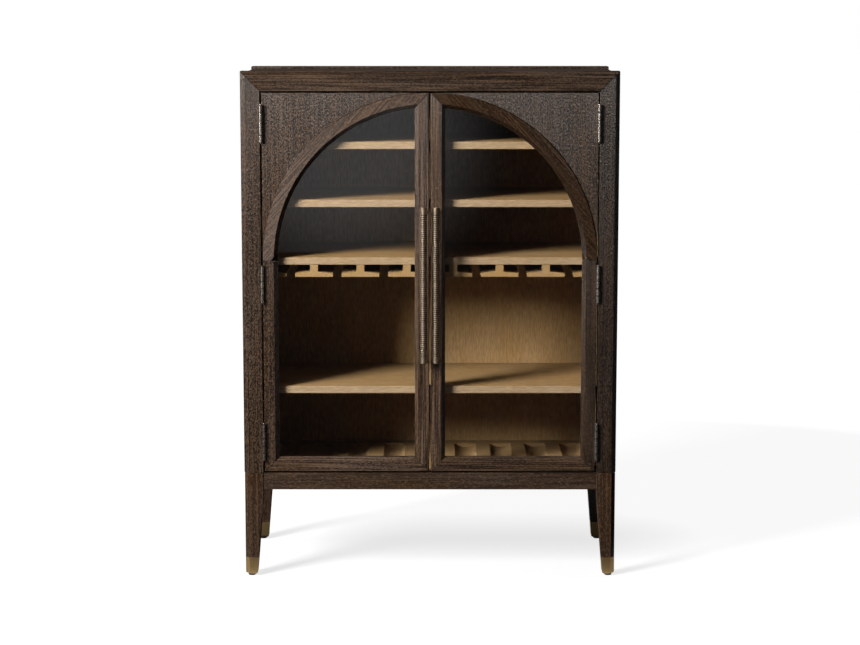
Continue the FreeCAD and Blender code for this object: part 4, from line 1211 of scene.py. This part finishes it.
def dark_room(studio):
    """Cards in front of the cabinet, under it, round it, over it and behind it."""
    shade = studio.card_shade
    haze = (HAZE_MIDDLE, HAZE_REACH, studio.haze)
    card("dark_front_card", (-FRONT_CARD_SIDE, ROOM_FRONT, 0.0),
         (FRONT_CARD_SIDE, ROOM_FRONT, FRONT_CARD_TOP), shade, True, haze)
    card("dark_floor_card", (-ROOM_SIDE, FLOOR_FRONT, FLOOR_CARD), (ROOM_SIDE, FRONT_EDGE, FLOOR_CARD),
         shade, True)
    level = {"under_card": UNDER_CARD,
             "floor_card_right": (SIDE_EDGE, FRONT_EDGE, ROOM_SIDE, ROOM_BACK),
             "floor_card_left": (-ROOM_SIDE, FRONT_EDGE, -SIDE_EDGE, ROOM_BACK),
             "floor_card_rear": (-SIDE_EDGE, REAR_EDGE, SIDE_EDGE, ROOM_BACK)}
    for name, (left, near, right, far) in level.items():
        card("dark_" + name, (left, near, FLOOR_CARD), (right, far, FLOOR_CARD), shade)
    for name, x in (("right", ROOM_SIDE), ("left", -ROOM_SIDE)):
        card("dark_" + name + "_card", (x, ROOM_FRONT, WALL_FOOT), (x, ROOM_BACK, ROOM_TOP), shade)
    card("dark_ceiling_card", (-ROOM_SIDE, ROOM_FRONT, CEILING), (ROOM_SIDE, CEILING_BACK, CEILING), shade)
    glow = (GLOW_MIDDLE, GLOW_REACH, studio.back_glow)
    card("dark_back_card", (-ROOM_SIDE, ROOM_BACK, WALL_FOOT), (ROOM_SIDE, ROOM_BACK, ROOM_TOP),
         shade, False, glow)


def lamp(name, place, aim, width, height, power):
    """Soft lamp that faces a point."""
    data = bpy.data.lights.new(name, "AREA")
    data.shape = "RECTANGLE"
    data.size = width
    data.size_y = height
    data.energy = power
    item = bpy.data.objects.new(name, data)
    bpy.context.scene.collection.objects.link(item)
    item.location = place
    item.rotation_euler = (Vector(aim) - Vector(place)).to_track_quat("-Z", "Y").to_euler()
    return item


class CABINET_OT_set_stage(bpy.types.Operator):
    """Floor, lamps, white background and camera"""
    bl_idname = "cabinet.set_stage"
    bl_label = "Studio"

    def execute(self, context):
        scene = context.scene
        studio = scene.cabinet_studio
        middle = (CAD_BOX[0] + CAD_BOX[1]) / 2.0
        corners = rectangle((-FLOOR_HALF, -FLOOR_HALF, 0.0), (FLOOR_HALF, FLOOR_HALF, 0.0))
        floor = plane("studio_floor", corners)
        floor.data.materials.append(floor_material(studio.floor_glow))
        dark_room(studio)
        key = lamp("key_lamp", studio.key_place, studio.key_aim, studio.key_width, studio.key_height,
                   studio.key_power)
        key.data.spread = studio.key_spread
        lit = bpy.data.collections.new("lit_from_behind")
        unlit = [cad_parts[node] for node in ("top_panel", "front_top_rail")]
        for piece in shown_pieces():
            if piece not in unlit:
                lit.objects.link(piece)
        for side, x in zip(SIDES, (-REAR_LAMP.x, REAR_LAMP.x)):
            place = (x, REAR_LAMP.y, REAR_LAMP.z)
            rear = lamp(side + "_rear_lamp", place, middle, REAR_LAMP_WIDTH, REAR_LAMP_WIDTH,
                        studio.rear_power)
            rear.light_linking.receiver_collection = lit
        scene.world = white_world(studio.ambient, studio.surround)
        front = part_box("front_top_rail")[0].y
        view = bpy.data.cameras.new("front_view")
        view.lens = studio.lens
        view.sensor_width = studio.sensor
        camera = bpy.data.objects.new("front_view", view)
        scene.collection.objects.link(camera)
        camera.location = (0.0, front - studio.camera_distance, studio.camera_height)
        camera.rotation_euler = (math.pi / 2 - studio.camera_tilt, 0.0, 0.0)
        scene.camera = camera
        scene.view_settings.view_transform = "Standard"
        return {"FINISHED"}


class CABINET_PT_sidebar(bpy.types.Panel):
    """Lists the steps and their settings."""
    bl_label = "Bar cabinet"
    bl_idname = "CABINET_PT_sidebar"
    bl_space_type = "VIEW_3D"
    bl_region_type = "UI"
    bl_category = "Cabinet"

    def draw(self, context):
        for step in STEPS:
            self.layout.operator(step.bl_idname)
        for name, group in SETTINGS.items():
            box = self.layout.box()
            for label in group.__annotations__:
                box.prop(getattr(context.scene, name), label)


SETTINGS = {"cabinet_oak": OakFinish, "cabinet_metal": MetalFinish, "cabinet_pulls": PullSizes,
            "cabinet_screws": ScrewSizes, "cabinet_studio": StudioSettings}
STEPS = (CABINET_OT_dress_case, CABINET_OT_dress_interior, CABINET_OT_dress_doors, CABINET_OT_glaze_doors,
         CABINET_OT_make_pulls, CABINET_OT_dress_hinges, CABINET_OT_set_screws, CABINET_OT_dress_feet,
         CABINET_OT_dress_catches, CABINET_OT_set_stage)


def register():
    """Make the settings, steps and panel known."""
    for group in (*SETTINGS.values(), *STEPS, CABINET_PT_sidebar):
        bpy.utils.register_class(group)
    for name, group in SETTINGS.items():
        setattr(bpy.types.Scene, name, bpy.props.PointerProperty(type=group))


def unregister():
    """Take them away again."""
    for name in SETTINGS:
        delattr(bpy.types.Scene, name)
    for group in (CABINET_PT_sidebar, *reversed(STEPS), *reversed(SETTINGS.values())):
        bpy.utils.unregister_class(group)


def main():
    """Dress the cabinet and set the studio."""
    register()
    bpy.ops.cabinet.dress_case()
    bpy.ops.cabinet.dress_interior()
    bpy.ops.cabinet.dress_doors()
    bpy.ops.cabinet.glaze_doors()
    bpy.ops.cabinet.make_pulls()
    bpy.ops.cabinet.dress_hinges()
    bpy.ops.cabinet.set_screws()
    bpy.ops.cabinet.dress_feet()
    bpy.ops.cabinet.dress_catches()
    bpy.ops.cabinet.set_stage()


if __name__ == "__main__":
    main()
